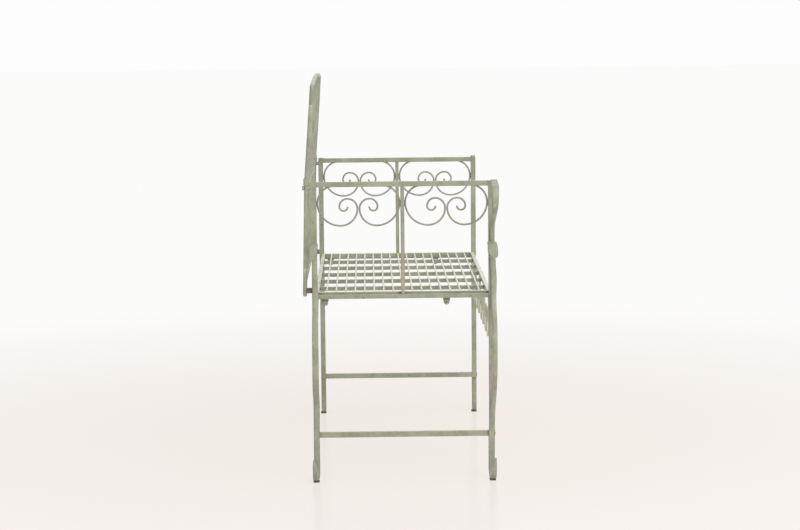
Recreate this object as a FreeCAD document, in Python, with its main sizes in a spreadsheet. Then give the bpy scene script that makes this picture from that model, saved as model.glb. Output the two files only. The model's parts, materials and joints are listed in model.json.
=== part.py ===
import FreeCAD, Part
import math
import os
from dataclasses import dataclass

from FreeCAD import Placement, Rotation, Vector

# A two-seat iron garden bench. It stands on z = 0 with its length along X and its front towards -Y.
# The side frames, the seat grid and the back panel are welded units that are bolted together.
# Left is the -X end and right is the +X end.

# Driving sizes in millimetres
SIZES = {
    # side frames
    "frame_spacing": 880.0,      # between the two side frames, middle to middle
    "leg_spacing": 418.0,        # front post to rear post, middle to middle
    "frame_bar": 10.0,           # thickness of every side frame bar along X
    "post_depth": 13.0,
    "rear_post_rise": 1.5,       # rear posts stand this much above the arm
    "arm_height": 712.0,         # top of the arm
    "arm_section": 12.0,
    "side_rail_drop": 15.5,      # underside of the rail beside the seat, below the seat's top
    "side_rail_section": 10.0,
    "stretcher_height": 108.0,   # middle of the stretcher
    "stretcher_section": 13.0,
    "mid_post_width": 9.0,
    # forged straps of the legs and arms
    "strap_width": 15.0,
    "strap_thickness": 6.0,
    "front_strap_setback": 1.5,  # front straps sit this much behind the middle of their posts
    "leg_splay": 4.0,            # how far the bow is also drawn aside, away from the bench
    "leg_bow_drop": 92.0,        # where the leg starts to bow out, below the top of its upper curl
    "leg_bow_height": 300.0,     # where the leg bows out most
    "leg_bow_bottom": 115.0,
    "leg_bow_reach": 60.0,       # middle of the strap at the bow, from the frame's middle
    "knob_drop": 145.0,          # middle of the strap at the top of its upper curl, below the top of the arm
    "knob_radius": 20.0,
    "knob_tip_drop": 33.0,       # tip of the leaf below the top of that curl
    "front_knob_width": 26.0,
    "front_knob_taper": 11.0,    # what is cut off the leaf's tip on the side of the bench's middle
    "rear_knob_taper": 4.0,
    "knob_taper_rise": 22.0,     # how far up from the tip that cut runs
    "rear_knob_width": 22.0,
    "foot_curl_radius": 20.0,
    "foot_tip_height": 57.0,
    "foot_tip_width": 19.0,
    "foot_tip_crown": 6.0,       # how far the rounded tip stands above its corners
    "pad_thickness": 2.0,
    "pad_length": 20.0,
    "pad_lip": 1.5,              # how far the pad's ends rise beside the curl
    "pad_gap": 0.05,             # between the pad and the curl
    "roll_forward": 4.0,         # the rolled arm end sits this much ahead of its post
    "roll_reach": 130.0,
    "roll_fall_radius": 60.0,    # where it leaves the top of the post
    "roll_shoulder_radius": 26.0,
    "roll_belly_radius": 26.0,
    "roll_neck_radius": 30.0,
    "roll_knob_gap": 0.508,      # lower end, welded to the post, above where it would meet the knob's curl
    # scrolls of bent wire
    "wire": 4.5,
    "scroll_side_gap": 0.2,      # between a scroll and what stands beside it
    "scroll_twin_gap": 0.6,      # between the two halves of one scroll
    "arm_scroll_drop": 94.5,     # middle of the wire, top line to farthest line
    "arm_scroll_sink": 2.8,      # top line above the underside of the arm, where the wire is cut
    "apron_scroll_drop": 106.0,
    "back_scroll_rise": 98.0,
    # seat
    "seat_height": 450.0,        # top of the seat rods
    "seat_depth": 409.0,         # front rail to rear rail, middle to middle
    "seat_bar_height": 10.0,
    "seat_rail_width": 10.0,
    "seat_end_height": 12.0,
    "cross_bar_thickness": 6.0,
    "rod_diameter": 4.0,
    # bolted lugs under the seat
    "lug_thickness": 4.0,
    "lug_width": 18.0,
    "lug_tip_radius": 7.0,
    "lug_hole_drop": 10.0,       # bolt below the underside of the side rail
    "rear_lug_inset": 24.0,      # from the rear post's middle
    "front_lug_inset": 106.0,    # from the front post's middle
    "bolt_diameter": 6.0,
    "bolt_hole": 6.5,
    "bolt_head_diameter": 11.0,
    "bolt_head_height": 4.0,
    "bolt_end": 2.0,             # bolt standing out of its nut
    "nut_across": 10.0,
    "nut_height": 5.0,
    # back panel
    "back_setback": 23.5,        # foot of the back post behind the rear post, middle to middle
    "back_foot_drop": 9.0,       # foot of the back post below the seat's top
    "back_joint_height": 713.0,  # where the upper part of a back post stands on the lower part
    "back_post_top": 894.0,
    "back_tube": 10.0,
    "back_end_taper": 3.0,       # tapered ends of the back posts
    "back_end_diameter": 6.0,
    "back_crown_rise": 238.0,    # middle of the arch above the joint, along the panel
    "back_arch_radius": 5500.0,
    "back_corner_radius": 25.0,
    "back_rail_section": 9.0,
    "back_bottom_rail_rise": 30.0,  # middle of the bottom rail above the seat's top
    "back_mid_rail_height": 698.0,
    "back_bar_diameter": 7.0,
    "joint_gap": 0.25,           # room for the kink between the two parts of a back post
    "sleeve_outer": 14.0,
    "sleeve_slack": 0.4,         # between the sleeve and the upper part of the post
    "sleeve_length": 15.0,
    "back_bolt_height": 698.5,
    "bolt_grip": 11.0,           # depth of the back bolt in the rear post
    "spacer_diameter": 10.0,
    "bracket_height": 12.0,
    "bracket_rise": 8.0,         # bracket above the foot of the back post
}
SEAT_RODS = 17
SEAT_CROSS_BARS = 5
APRON_SCROLLS = 4
BACK_BAYS = 4
BACK_LOWER_BARS = 7

# Bends of one scroll half, as shares of its own drop
CORNER_SHARE = 0.43
CURL_SHARE = 0.25
INNER_CURL_SHARE = 0.2
EYE_SHARE = 0.105

# Angles in degrees
QUARTER = 90
ROLL_FALL = 6                    # how steeply the rolled arm end leaves the top of its post
ROLL_RETURN = 75                 # how far it turns back towards the post
BACK_LOWER_LEAN = 1.4
BACK_UPPER_LEAN = 4.2

SIDES = {"left": -1, "right": 1}
LEGS = {"front": -1, "rear": 1}
ALONG_X = Rotation(Vector(0, 1, 0), QUARTER)
ALONG_Y = Rotation(Vector(1, 0, 0), -QUARTER)
AGAINST_Y = Rotation(Vector(1, 0, 0), QUARTER)
STRAP_WAY = Vector(0, 1, 0)      # the width of a strap lies this way

doc = FreeCAD.newDocument("garden_bench")
sheet = doc.addObject("Spreadsheet::Sheet", "sizes")
pieces = []


def write_sizes(values):
    """Fill the sheet with one named number in each row."""
    for row, (alias, value) in enumerate(values.items(), start=1):
        sheet.set(f"A{row}", alias)
        sheet.set(f"B{row}", repr(float(value)))
        sheet.setAlias(f"B{row}", alias)
    doc.recompute()


def size(alias):
    """The number in a named cell."""
    return float(sheet.get(alias))


# The origin is under the middle of the whole bench, so the middle of the legs lies a little off it
KNOB_OUT = 2 * SIZES["knob_radius"] + SIZES["strap_thickness"] / 2
KNOB_ASIDE = SIZES["leg_splay"] * KNOB_OUT / SIZES["leg_bow_reach"]
KNOB_LEAD = SIZES["front_knob_width"] / 2 - SIZES["front_strap_setback"] + KNOB_ASIDE
BACK_TRAIL = SIZES["back_setback"] + SIZES["back_tube"] / 2
# The knob hangs below the arm, and the rolled arm end stands on the post just clear of the knob's round back
KNOB_TOP = SIZES["arm_height"] - SIZES["knob_drop"]
KNOB_BACK = KNOB_TOP - SIZES["knob_radius"] + math.sqrt(2 * SIZES["knob_radius"] * SIZES["strap_thickness"])
write_sizes({
    **SIZES,
    "knob_top": KNOB_TOP,
    "knob_tip_height": KNOB_TOP - SIZES["knob_tip_drop"],
    "leg_bow_top": KNOB_TOP - SIZES["leg_bow_drop"],
    "roll_foot_height": KNOB_BACK + SIZES["roll_knob_gap"],
    "legs_middle": (KNOB_LEAD - BACK_TRAIL) / 2,
    "side_rail_height": SIZES["seat_height"] - SIZES["side_rail_drop"],
    "back_foot_height": SIZES["seat_height"] - SIZES["back_foot_drop"],
    "back_bottom_rail_height": SIZES["seat_height"] + SIZES["back_bottom_rail_rise"],
})

FRAME_X = size("frame_spacing") / 2
SEAT_X = FRAME_X - size("frame_bar") / 2
ARCH_X = FRAME_X - (size("back_tube") + size("sleeve_outer")) / 2 - size("scroll_side_gap")
LEG_Y = {leg: size("legs_middle") + way * size("leg_spacing") / 2 for leg, way in LEGS.items()}
STRAP_OUT = (size("frame_bar") + size("strap_thickness")) / 2
LEG_FORMULA = {leg: f"(sizes.legs_middle + {way} * sizes.leg_spacing / 2)" for leg, way in LEGS.items()}
RAIL_FORMULA = {leg: f"(sizes.legs_middle + {way} * sizes.seat_depth / 2)" for leg, way in LEGS.items()}
SEAT_INNER = "(sizes.frame_spacing - sizes.frame_bar - 2 * sizes.seat_rail_width)"


@dataclass(frozen=True)
class Plane:
    """A flat plane in which a strap or a wire is bent."""

    origin: Vector
    across: Vector
    up: Vector

    def point(self, u, v):
        """The place in space of a point of the plane."""
        return self.origin + self.across * u + self.up * v

    def normal(self):
        """The direction square to the plane."""
        return self.across.cross(self.up)

    def reach(self, height):
        """How far up the plane a height lies."""
        return (height - self.origin.z) / self.up.z


def keep(piece, label):
    """Name a finished piece and put it on the list of pieces."""
    piece.Label = label
    pieces.append(piece)
    return piece


def box(name, corner, sides):
    """A square bar from its low corner and its three sides, all given as formulas."""
    solid = doc.addObject("Part::Box", name)
    for prop, formula in zip(("Length", "Width", "Height"), sides):
        solid.setExpression(prop, formula)
    for axis, formula in zip("xyz", corner):
        solid.setExpression(f"Placement.Base.{axis}", formula)
    return solid


def rod(name, start, turn, radius, length):
    """A round bar from its start point, its turn from upright and formulas for its sizes."""
    solid = doc.addObject("Part::Cylinder", name)
    solid.setExpression("Radius", radius)
    solid.setExpression("Height", length)
    solid.Placement = Placement(start, turn)
    return solid


def join(kind, name, base, tool):
    """Two solids fused, cut or crossed."""
    result = doc.addObject(f"Part::{kind}", name)
    result.Base = base
    result.Tool = tool
    return result


def group(name, members):
    """Equal separate solids that share one name."""
    compound = doc.addObject("Part::Compound", name)
    compound.Links = members
    return compound


def band(plane, start, heading, steps, thickness):
    """The flat outline of a strap of even thickness that is bent along a path.

    Each step is (length,) for a straight run or (radius, degrees) for a bend, left turns positive.
    """
    here = Vector(*start, 0)
    angle = math.radians(heading)
    sides = {1: [], -1: []}
    for step in steps:
        left = Vector(-math.sin(angle), math.cos(angle), 0)
        if len(step) == 1:
            there = here + Vector(math.cos(angle), math.sin(angle), 0) * step[0]
            for side, curves in sides.items():
                offset = left * (side * thickness / 2)
                ends = [plane.point(spot.x, spot.y) for spot in (here + offset, there + offset)]
                curves.append(Part.LineSegment(*ends))
        else:
            radius, degrees = step
            hand = math.copysign(1, degrees)
            turn = math.radians(degrees)
            centre = here + left * (hand * radius)
            for side, curves in sides.items():
                reach = hand * radius - side * thickness / 2
                swings = [angle + share * turn for share in (0, 0.5, 1)]
                spots = [centre + Vector(math.sin(swing), -math.cos(swing), 0) * reach for swing in swings]
                curves.append(Part.Arc(*[plane.point(spot.x, spot.y) for spot in spots]))
            angle += turn
            there = centre + Vector(math.sin(angle), -math.cos(angle), 0) * (hand * radius)
        here = there
    first_cap = Part.LineSegment(sides[1][0].StartPoint, sides[-1][0].StartPoint)
    last_cap = Part.LineSegment(sides[1][-1].EndPoint, sides[-1][-1].EndPoint)
    edges = [curve.toShape() for curve in sides[1] + sides[-1] + [first_cap, last_cap]]
    return Part.Face(Part.Wire(Part.__sortEdges__(edges)))


def slab(name, face, normal, width):
    """A flat outline made solid to a width that is given as a formula, half to each side."""
    outline = doc.addObject("Part::Feature", name + "_outline")
    outline.Shape = face
    solid = doc.addObject("Part::Extrusion", name)
    solid.Base = outline
    solid.DirMode = "Custom"
    solid.Dir = normal
    solid.Symmetric = True
    solid.Solid = True
    solid.setExpression("LengthFwd", width)
    return solid


def leg_plane(sign, y, aside=0.0):
    """The upright plane of a strap, measured outwards from the frame's middle and drawn aside with it."""
    return Plane(Vector(sign * FRAME_X, y - aside * STRAP_OUT, 0), Vector(sign, aside, 0), Vector(0, 0, 1))


def template(name, outline, sweep):
    """A flat outline that is swept straight on, to cut the end of a strap with."""
    solid = doc.addObject("Part::Feature", name)
    solid.Shape = Part.Face(Part.Wire([curve.toShape() for curve in outline])).extrude(sweep)
    return solid


def trimmed(name, blank_face, width, outline, sweep):
    """The end of a strap, cut from a wider strap to an outline that is swept straight through it."""
    blank = slab(name + "_blank", blank_face, STRAP_WAY, width)
    return join("Common", name, blank, template(name + "_template", outline, sweep))


def polyline(spots):
    """Straight lines from each spot to the next."""
    return [Part.LineSegment(a, b) for a, b in zip(spots, spots[1:])]


def foot_tip(name, plane, ground):
    """The foot's curl, which grows wider from the ground to its rounded tip."""
    curl = size("foot_curl_radius")
    tip = size("foot_tip_height")
    narrow = size("strap_width") / 2
    wide = size("foot_tip_width") / 2
    root = ground - size("strap_thickness")
    shoulder = tip - size("foot_tip_crown")
    face_plane = Plane(plane.origin, STRAP_WAY, plane.up)
    corners = ((wide, shoulder), (narrow, root), (-narrow, root), (-wide, shoulder))
    spots = [face_plane.point(*corner) for corner in corners]
    outline = polyline(spots) + [Part.Arc(spots[-1], face_plane.point(0, tip), spots[0])]
    blank_face = band(plane, (STRAP_OUT + curl, ground), 0, [(curl, QUARTER), (tip - ground - curl,)],
                      size("strap_thickness"))
    sweep = plane.across * (STRAP_OUT + 2 * curl + size("strap_thickness"))
    return trimmed(name, blank_face, "sizes.foot_tip_width", outline, sweep)


def knob_tip(name, plane, leg):
    """The leg's upper curl, which turns over outwards and ends in a wide leaf with one corner cut off."""
    knob = size("knob_radius")
    root = size("knob_top") - knob
    half_strap = size("strap_thickness") / 2
    narrow = size("strap_width") / 2
    wide = size(f"{leg}_knob_width") / 2
    low = plane.point(0, size("knob_tip_height"))
    face_plane = Plane(low, plane.across, STRAP_WAY)
    near, far = STRAP_OUT + half_strap, STRAP_OUT + 2 * knob + half_strap
    side = [(0, narrow), (near, narrow), (far, wide)]
    corners = side + [(u, -v) for u, v in reversed(side)]
    spots = [face_plane.point(*corner) for corner in corners]
    turn_over = [(knob, -2 * QUARTER), (root - size("knob_tip_height"),)]
    blank_face = band(plane, (STRAP_OUT, root), QUARTER, turn_over, size("strap_thickness"))
    sweep = plane.up * (knob + root - size("knob_tip_height") + size("strap_thickness"))
    outline = polyline(spots + spots[:1])
    leaf = trimmed(name + "_leaf", blank_face, f"sizes.{leg}_knob_width", outline, sweep)
    taper = size(f"{leg}_knob_taper")
    rise = size("knob_taper_rise")
    cut_start = plane.point(STRAP_OUT + knob, size("knob_tip_height"))
    cut_plane = Plane(cut_start, STRAP_WAY * -LEGS[leg], plane.up)
    cut = [(wide - 2 * taper, -rise), (wide + taper, 2 * rise), (wide + taper, -rise)]
    cut_spots = [cut_plane.point(*spot) for spot in cut]
    cutter = template(name + "_cutter", polyline(cut_spots + cut_spots[:1]), plane.across * (2 * knob))
    return join("Cut", name, leaf, cutter)


def bow(rise, reach):
    """Two equal bends that carry a strap sideways and leave it upright again, going down."""
    degrees = 2 * math.degrees(math.atan(reach / rise))
    radius = rise / (2 * math.sin(math.radians(abs(degrees))))
    return [(radius, degrees), (radius, -degrees)]


def leg_strap(leg, side, y):
    """The bowed outer strap of a leg with its glide, curled over outwards at its top and up at its foot."""
    label = f"{leg}_leg_{side}"
    aside = LEGS[leg] * size("leg_splay") / size("leg_bow_reach")
    plane = leg_plane(SIDES[side], y, aside)
    curl = size("foot_curl_radius")
    ground = size("pad_thickness") + size("strap_thickness") / 2
    knob_root = size("knob_top") - size("knob_radius")
    bow_reach = size("leg_bow_reach") - STRAP_OUT
    steps = [(knob_root - size("leg_bow_top"),)]
    steps += bow(size("leg_bow_top") - size("leg_bow_height"), bow_reach)
    steps += bow(size("leg_bow_height") - size("leg_bow_bottom"), -bow_reach)
    steps += [(size("leg_bow_bottom") - ground - curl,), (curl, QUARTER)]
    main_face = band(plane, (STRAP_OUT, knob_root), -QUARTER, steps, size("strap_thickness"))
    main = slab(label + "_main", main_face, STRAP_WAY, "sizes.strap_width")
    upper = join("Fuse", label + "_upper", main, knob_tip(label + "_knob", plane, leg))
    keep(join("Fuse", label, upper, foot_tip(label + "_foot", plane, ground)), label)
    foot_pad(f"{leg}_foot_pad_{side}", plane.point(STRAP_OUT + curl, 0))


def arm_roll(label, sign, y):
    """The rolled arm end: a strap from the top of the post that loops outwards and slants back to it."""
    plane = leg_plane(sign, y)
    reach = size("roll_reach") - STRAP_OUT
    easing = size("roll_fall_radius")
    shoulder = size("roll_shoulder_radius")
    belly = size("roll_belly_radius")
    neck = size("roll_neck_radius")
    half_bar = size("frame_bar") / 2
    top = size("arm_height") + size("strap_thickness") / 2
    fall = math.radians(ROLL_FALL)
    turn = math.radians(ROLL_RETURN)
    run = (reach - easing * math.sin(fall) - shoulder * (1 - math.sin(fall))) / math.cos(fall)
    slant = (reach - (belly + neck) * (1 - math.cos(turn))) / math.sin(turn)
    nose = top - easing * (1 - math.cos(fall)) - run * math.sin(fall) - shoulder * math.cos(fall)
    tail = nose - (belly + neck) * math.sin(turn) - slant * math.cos(turn) - size("roll_foot_height")
    over = [(half_bar + STRAP_OUT,), (easing, -ROLL_FALL), (run,), (shoulder, ROLL_FALL - QUARTER)]
    back_in = [(belly, -ROLL_RETURN), (slant,), (neck, ROLL_RETURN), (tail,)]
    outline = band(plane, (-half_bar, top), 0, over + back_in, size("strap_thickness"))
    return keep(slab(label, outline, STRAP_WAY, "sizes.strap_width"), label)


def foot_pad(label, spot):
    """The black glide under a curled foot, hollowed to the curl."""
    block = box(
        label + "_block",
        (f"{spot.x} - sizes.pad_length / 2", f"{spot.y} - sizes.strap_width / 2", "0"),
        ("sizes.pad_length", "sizes.strap_width", "sizes.pad_thickness + sizes.pad_lip"),
    )
    height = size("pad_thickness") + size("foot_curl_radius") + size("strap_thickness") / 2
    hollow = rod(label + "_hollow", Vector(spot.x, spot.y - size("strap_width"), height), ALONG_Y,
                 "sizes.foot_curl_radius + sizes.strap_thickness / 2 + sizes.pad_gap",
                 "2 * sizes.strap_width")
    return keep(join("Cut", label, block, hollow), label)


def scroll(name, plane, half_width, drop):
    """One wire bent to a pair of scrolls on a straight run, which lies at the plane's origin."""
    wire = size("wire")
    corner = CORNER_SHARE * drop
    lobe = drop - corner
    inner = (wire + size("scroll_twin_gap")) / 2
    rise = half_width - lobe - inner
    curl = CURL_SHARE * drop
    inner_curl = INNER_CURL_SHARE * drop
    eye = EYE_SHARE * drop
    half = [(radius, -QUARTER) for radius in (corner, lobe, rise, curl, inner_curl)] + [(eye, -2 * QUARTER)]
    start = (-(inner + curl + inner_curl - 2 * eye), -(drop - rise - curl + inner_curl))
    steps = half[::-1] + [(2 * (half_width - corner),)] + half
    return slab(name, band(plane, start, -QUARTER, steps, wire), plane.normal(), "sizes.wire")


def scroll_half_width(bay):
    """Half the width of a scroll that fills a bay, to the middle of its wire."""
    return (bay - size("wire")) / 2 - size("scroll_side_gap")


def arm_scrolls(side, sign, arm):
    """The scrolls that fill the two bays under an arm, cut where they run into it."""
    wire_line = size("arm_height") - size("arm_section") + size("arm_scroll_sink")
    bay = (size("leg_spacing") - size("post_depth") - size("mid_post_width")) / 2
    for leg, way in LEGS.items():
        label = f"arm_scroll_{leg}_{side}"
        middle = size("legs_middle") + way * (size("mid_post_width") + bay) / 2
        plane = Plane(Vector(sign * FRAME_X, middle, wire_line), Vector(0, 1, 0), Vector(0, 0, 1))
        whole = scroll(label + "_whole", plane, scroll_half_width(bay), size("arm_scroll_drop"))
        keep(join("Cut", label, whole, arm), label)


def side_frame(side, sign):
    """One side of the bench: posts, arm, rails, scrolls, straps and feet."""
    low_x = f"({sign} * sizes.frame_spacing - sizes.frame_bar) / 2"
    post_foot = "sizes.stretcher_height - sizes.stretcher_section / 2"
    post_height = f"(sizes.arm_height - ({post_foot}))"
    front_sides = ("sizes.frame_bar", "sizes.post_depth", post_height)
    front_corner = (low_x, f"{LEG_FORMULA['front']} - sizes.post_depth / 2", post_foot)
    keep(box(f"front_post_{side}", front_corner, front_sides), f"front_post_{side}")
    rear_corner = (low_x, f"{LEG_FORMULA['rear']} - sizes.post_depth / 2", post_foot)
    rear_sides = ("sizes.frame_bar", "sizes.post_depth", f"{post_height} + sizes.rear_post_rise")
    rear_blank = box(f"rear_post_blank_{side}", rear_corner, rear_sides)
    bore_start = Vector(sign * FRAME_X, LEG_Y["rear"] + size("post_depth") / 2, size("back_bolt_height"))
    bore = rod(f"rear_post_bore_{side}", bore_start, AGAINST_Y, "sizes.bolt_hole / 2", "sizes.bolt_grip")
    keep(join("Cut", f"rear_post_{side}", rear_blank, bore), f"rear_post_{side}")
    bar_y = f"{LEG_FORMULA['front']} + sizes.post_depth / 2"
    levels = {
        "arm_rail": ("sizes.arm_height - sizes.arm_section", "sizes.arm_section"),
        "seat_side_rail": ("sizes.side_rail_height", "sizes.side_rail_section"),
        "stretcher": (post_foot, "sizes.stretcher_section"),
    }
    bars = {}
    for bar, (level, section) in levels.items():
        bar_sides = ("sizes.frame_bar", "sizes.leg_spacing - sizes.post_depth", section)
        bars[bar] = keep(box(f"{bar}_{side}", (low_x, bar_y, level), bar_sides), f"{bar}_{side}")
    rail_top = "sizes.side_rail_height + sizes.side_rail_section"
    mid_corner = (low_x, "sizes.legs_middle - sizes.mid_post_width / 2", rail_top)
    mid_height = f"sizes.arm_height - sizes.arm_section - ({rail_top})"
    mid_sides = ("sizes.frame_bar", "sizes.mid_post_width", mid_height)
    keep(box(f"arm_mid_post_{side}", mid_corner, mid_sides), f"arm_mid_post_{side}")
    arm_scrolls(side, sign, bars["arm_rail"])
    leg_strap("front", side, LEG_Y["front"] + size("front_strap_setback"))
    leg_strap("rear", side, LEG_Y["rear"])
    arm_roll(f"arm_roll_{side}", sign, LEG_Y["front"] - size("roll_forward"))


def seat():
    """The seat grid: rails, end bars, cross bars and the rods that lie on them."""
    rail_low = "sizes.seat_height - sizes.seat_bar_height"
    rail_sides = (SEAT_INNER, "sizes.seat_rail_width", "sizes.seat_bar_height")
    for leg in LEGS:
        corner = (f"-{SEAT_INNER} / 2", f"{RAIL_FORMULA[leg]} - sizes.seat_rail_width / 2", rail_low)
        keep(box(f"seat_{leg}_rail", corner, rail_sides), f"seat_{leg}_rail")
    end_y = f"{RAIL_FORMULA['front']} - sizes.seat_rail_width / 2"
    end_length = "sizes.seat_depth + sizes.seat_rail_width"
    end_sides = ("sizes.seat_rail_width", end_length, "sizes.seat_end_height")
    for side, sign in SIDES.items():
        end_x = f"{sign} * ({SEAT_INNER} + sizes.seat_rail_width) / 2 - sizes.seat_rail_width / 2"
        corner = (end_x, end_y, "sizes.seat_height - sizes.seat_end_height")
        keep(box(f"seat_end_bar_{side}", corner, end_sides), f"seat_end_bar_{side}")
    bar_y = f"{RAIL_FORMULA['front']} + sizes.seat_rail_width / 2"
    bar_low = "sizes.seat_height - sizes.rod_diameter - sizes.seat_bar_height"
    bar_length = "sizes.seat_depth - sizes.seat_rail_width"
    bar_sides = ("sizes.cross_bar_thickness", bar_length, "sizes.seat_bar_height")
    for number in range(1, SEAT_CROSS_BARS + 1):
        share = number / (SEAT_CROSS_BARS + 1) - 0.5
        corner = (f"{share} * sizes.frame_spacing - sizes.cross_bar_thickness / 2", bar_y, bar_low)
        keep(box(f"seat_cross_bar_{number}", corner, bar_sides), f"seat_cross_bar_{number}")
    rods = []
    for number in range(1, SEAT_RODS + 1):
        y = size("legs_middle") + size("seat_depth") * (number / (SEAT_RODS + 1) - 0.5)
        start = Vector(size("seat_rail_width") - SEAT_X, y, size("seat_height") - size("rod_diameter") / 2)
        rods.append(rod(f"seat_rod_{number}", start, ALONG_X, "sizes.rod_diameter / 2", SEAT_INNER))
    keep(group("seat_rods", rods), "seat_rods")


def apron():
    """The row of scrolls that hangs from the front rail of the seat."""
    clear = 2 * (SEAT_X - size("seat_rail_width"))
    bay = clear / APRON_SCROLLS
    y = size("legs_middle") - size("seat_depth") / 2
    wire_line = size("seat_height") - size("seat_bar_height") - size("wire") / 2
    for number in range(APRON_SCROLLS):
        label = f"apron_scroll_{number + 1}"
        middle = (number + 0.5) * bay - clear / 2
        plane = Plane(Vector(middle, y, wire_line), Vector(1, 0, 0), Vector(0, 0, 1))
        keep(scroll(label, plane, scroll_half_width(bay), size("apron_scroll_drop")), label)


def lug(name, spot, top):
    """A welded lug around a bolt hole at the given spot, rounded at its lower end."""
    half = size("lug_width") / 2
    tip = size("lug_tip_radius")
    plane = Plane(spot, Vector(0, 1, 0), Vector(0, 0, 1))
    rise = top - spot.z
    spots = [plane.point(*corner) for corner in ((-tip, 0), (-half, rise), (half, rise), (tip, 0))]
    curves = polyline(spots) + [Part.Arc(spots[-1], plane.point(0, -tip), spots[0])]
    outline = Part.Wire([curve.toShape() for curve in curves])
    hole = Part.Wire([Part.Circle(spot, Vector(1, 0, 0), size("bolt_hole") / 2).toShape()])
    face = Part.Face(outline).cut(Part.Face(hole))
    return slab(name, face.Faces[0], Vector(1, 0, 0), "sizes.lug_thickness")


def seat_bolt(spot_name, face, inwards):
    """A bolt through two lugs, with its head on the outer face."""
    stack = "2 * sizes.lug_thickness + sizes.nut_height + sizes.bolt_end"
    head_end = face - inwards.multVec(Vector(0, 0, size("bolt_head_height")))
    shank = rod(f"seat_bolt_shank_{spot_name}", face, inwards, "sizes.bolt_diameter / 2", stack)
    head = rod(f"seat_bolt_head_{spot_name}", head_end, inwards,
               "sizes.bolt_head_diameter / 2", "sizes.bolt_head_height")
    return join("Fuse", f"seat_bolt_{spot_name}", shank, head)


def seat_nut(spot_name, face, inwards):
    """A hexagon nut on the inner face of the lugs."""
    blank = doc.addObject("Part::Prism", f"seat_nut_blank_{spot_name}")
    blank.Polygon = 6
    blank.setExpression("Circumradius", "sizes.nut_across / sqrt(3)")
    blank.setExpression("Height", "sizes.nut_height")
    blank.Placement = Placement(face, inwards)
    bore = rod(f"seat_nut_bore_{spot_name}", face, inwards, "sizes.bolt_hole / 2", "sizes.nut_height")
    return join("Cut", f"seat_nut_{spot_name}", blank, bore)


def seat_fixings():
    """The lugs under the side rails and the seat, with the bolts and nuts that hold them together."""
    sets = {"side_rail_lugs": [], "seat_lugs": [], "seat_bolts": [], "seat_nuts": []}
    hole_z = size("side_rail_height") - size("lug_hole_drop")
    seat_low = size("seat_height") - size("seat_end_height")
    rail_low = size("side_rail_height")
    half = size("lug_thickness") / 2
    places = {leg: LEG_Y[leg] - way * size(f"{leg}_lug_inset") for leg, way in LEGS.items()}
    for side, sign in SIDES.items():
        inwards = Rotation(Vector(0, 1, 0), -sign * QUARTER)
        for leg, y in places.items():
            spot_name = f"{leg}_{side}"
            frame_spot = Vector(sign * (SEAT_X + half), y, hole_z)
            seat_spot = Vector(sign * (SEAT_X - half), y, hole_z)
            sets["side_rail_lugs"].append(lug(f"side_rail_lug_{spot_name}", frame_spot, rail_low))
            sets["seat_lugs"].append(lug(f"seat_lug_{spot_name}", seat_spot, seat_low))
            outer_face = Vector(sign * (SEAT_X + 2 * half), y, hole_z)
            inner_face = Vector(sign * (SEAT_X - 2 * half), y, hole_z)
            sets["seat_bolts"].append(seat_bolt(spot_name, outer_face, inwards))
            sets["seat_nuts"].append(seat_nut(spot_name, inner_face, inwards))
    for label, members in sets.items():
        keep(group(label, members), label)


def lean_plane(lean, foot):
    """A plane along the bench through a foot point, which leans so that its top is nearer the front."""
    angle = math.radians(lean)
    return Plane(foot, Vector(1, 0, 0), Vector(0, -math.sin(angle), math.cos(angle)))


def lean_turn(lean):
    """The turn of a piece that stands in a leaning plane."""
    return Rotation(Vector(1, 0, 0), lean)


def end_taper(name, start, turn, radii):
    """The short tapered end of a back post, from formulas for its radius at its foot and its top."""
    cone = doc.addObject("Part::Cone", name)
    for prop, formula in zip(("Radius1", "Radius2"), radii):
        cone.setExpression(prop, formula)
    cone.setExpression("Height", "sizes.back_end_taper")
    cone.Placement = Placement(start, turn)
    return cone


def lower_post(name, sign, lower):
    """The lower part of a back post, tapered at its foot and not yet bored."""
    x = sign * FRAME_X
    turn = lean_turn(BACK_LOWER_LEAN)
    foot = size("back_end_taper")
    length = f"{lower.reach(size('back_joint_height')) - foot}"
    tube = rod(name + "_tube", lower.point(x, foot), turn, "sizes.back_tube / 2", length)
    radii = ("sizes.back_end_diameter / 2", "sizes.back_tube / 2")
    return join("Fuse", name, tube, end_taper(name + "_end", lower.point(x, 0), turn, radii))


def upper_post(name, sign, upper):
    """The upper part of a back post, tapered at its top."""
    x = sign * FRAME_X
    turn = lean_turn(BACK_UPPER_LEAN)
    gap = size("joint_gap")
    top = upper.reach(size("back_post_top")) - size("back_end_taper")
    tube = rod(name + "_tube", upper.point(x, gap), turn, "sizes.back_tube / 2", f"{top - gap}")
    radii = ("sizes.back_tube / 2", "sizes.back_end_diameter / 2")
    return join("Fuse", name, tube, end_taper(name + "_end", upper.point(x, top), turn, radii))


def back_rail(label, plane, lean, height, posts):
    """A square rail across the back, fitted to the posts at its ends."""
    half = size("back_rail_section") / 2
    blank = doc.addObject("Part::Box", label + "_blank")
    blank.setExpression("Length", "sizes.frame_spacing")
    blank.setExpression("Width", "sizes.back_rail_section")
    blank.setExpression("Height", "sizes.back_rail_section")
    corner = plane.point(-FRAME_X, plane.reach(height) - half) + plane.normal() * half
    blank.Placement = Placement(corner, lean_turn(lean))
    return keep(join("Cut", label, blank, group(label + "_posts", posts)), label)


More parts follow.
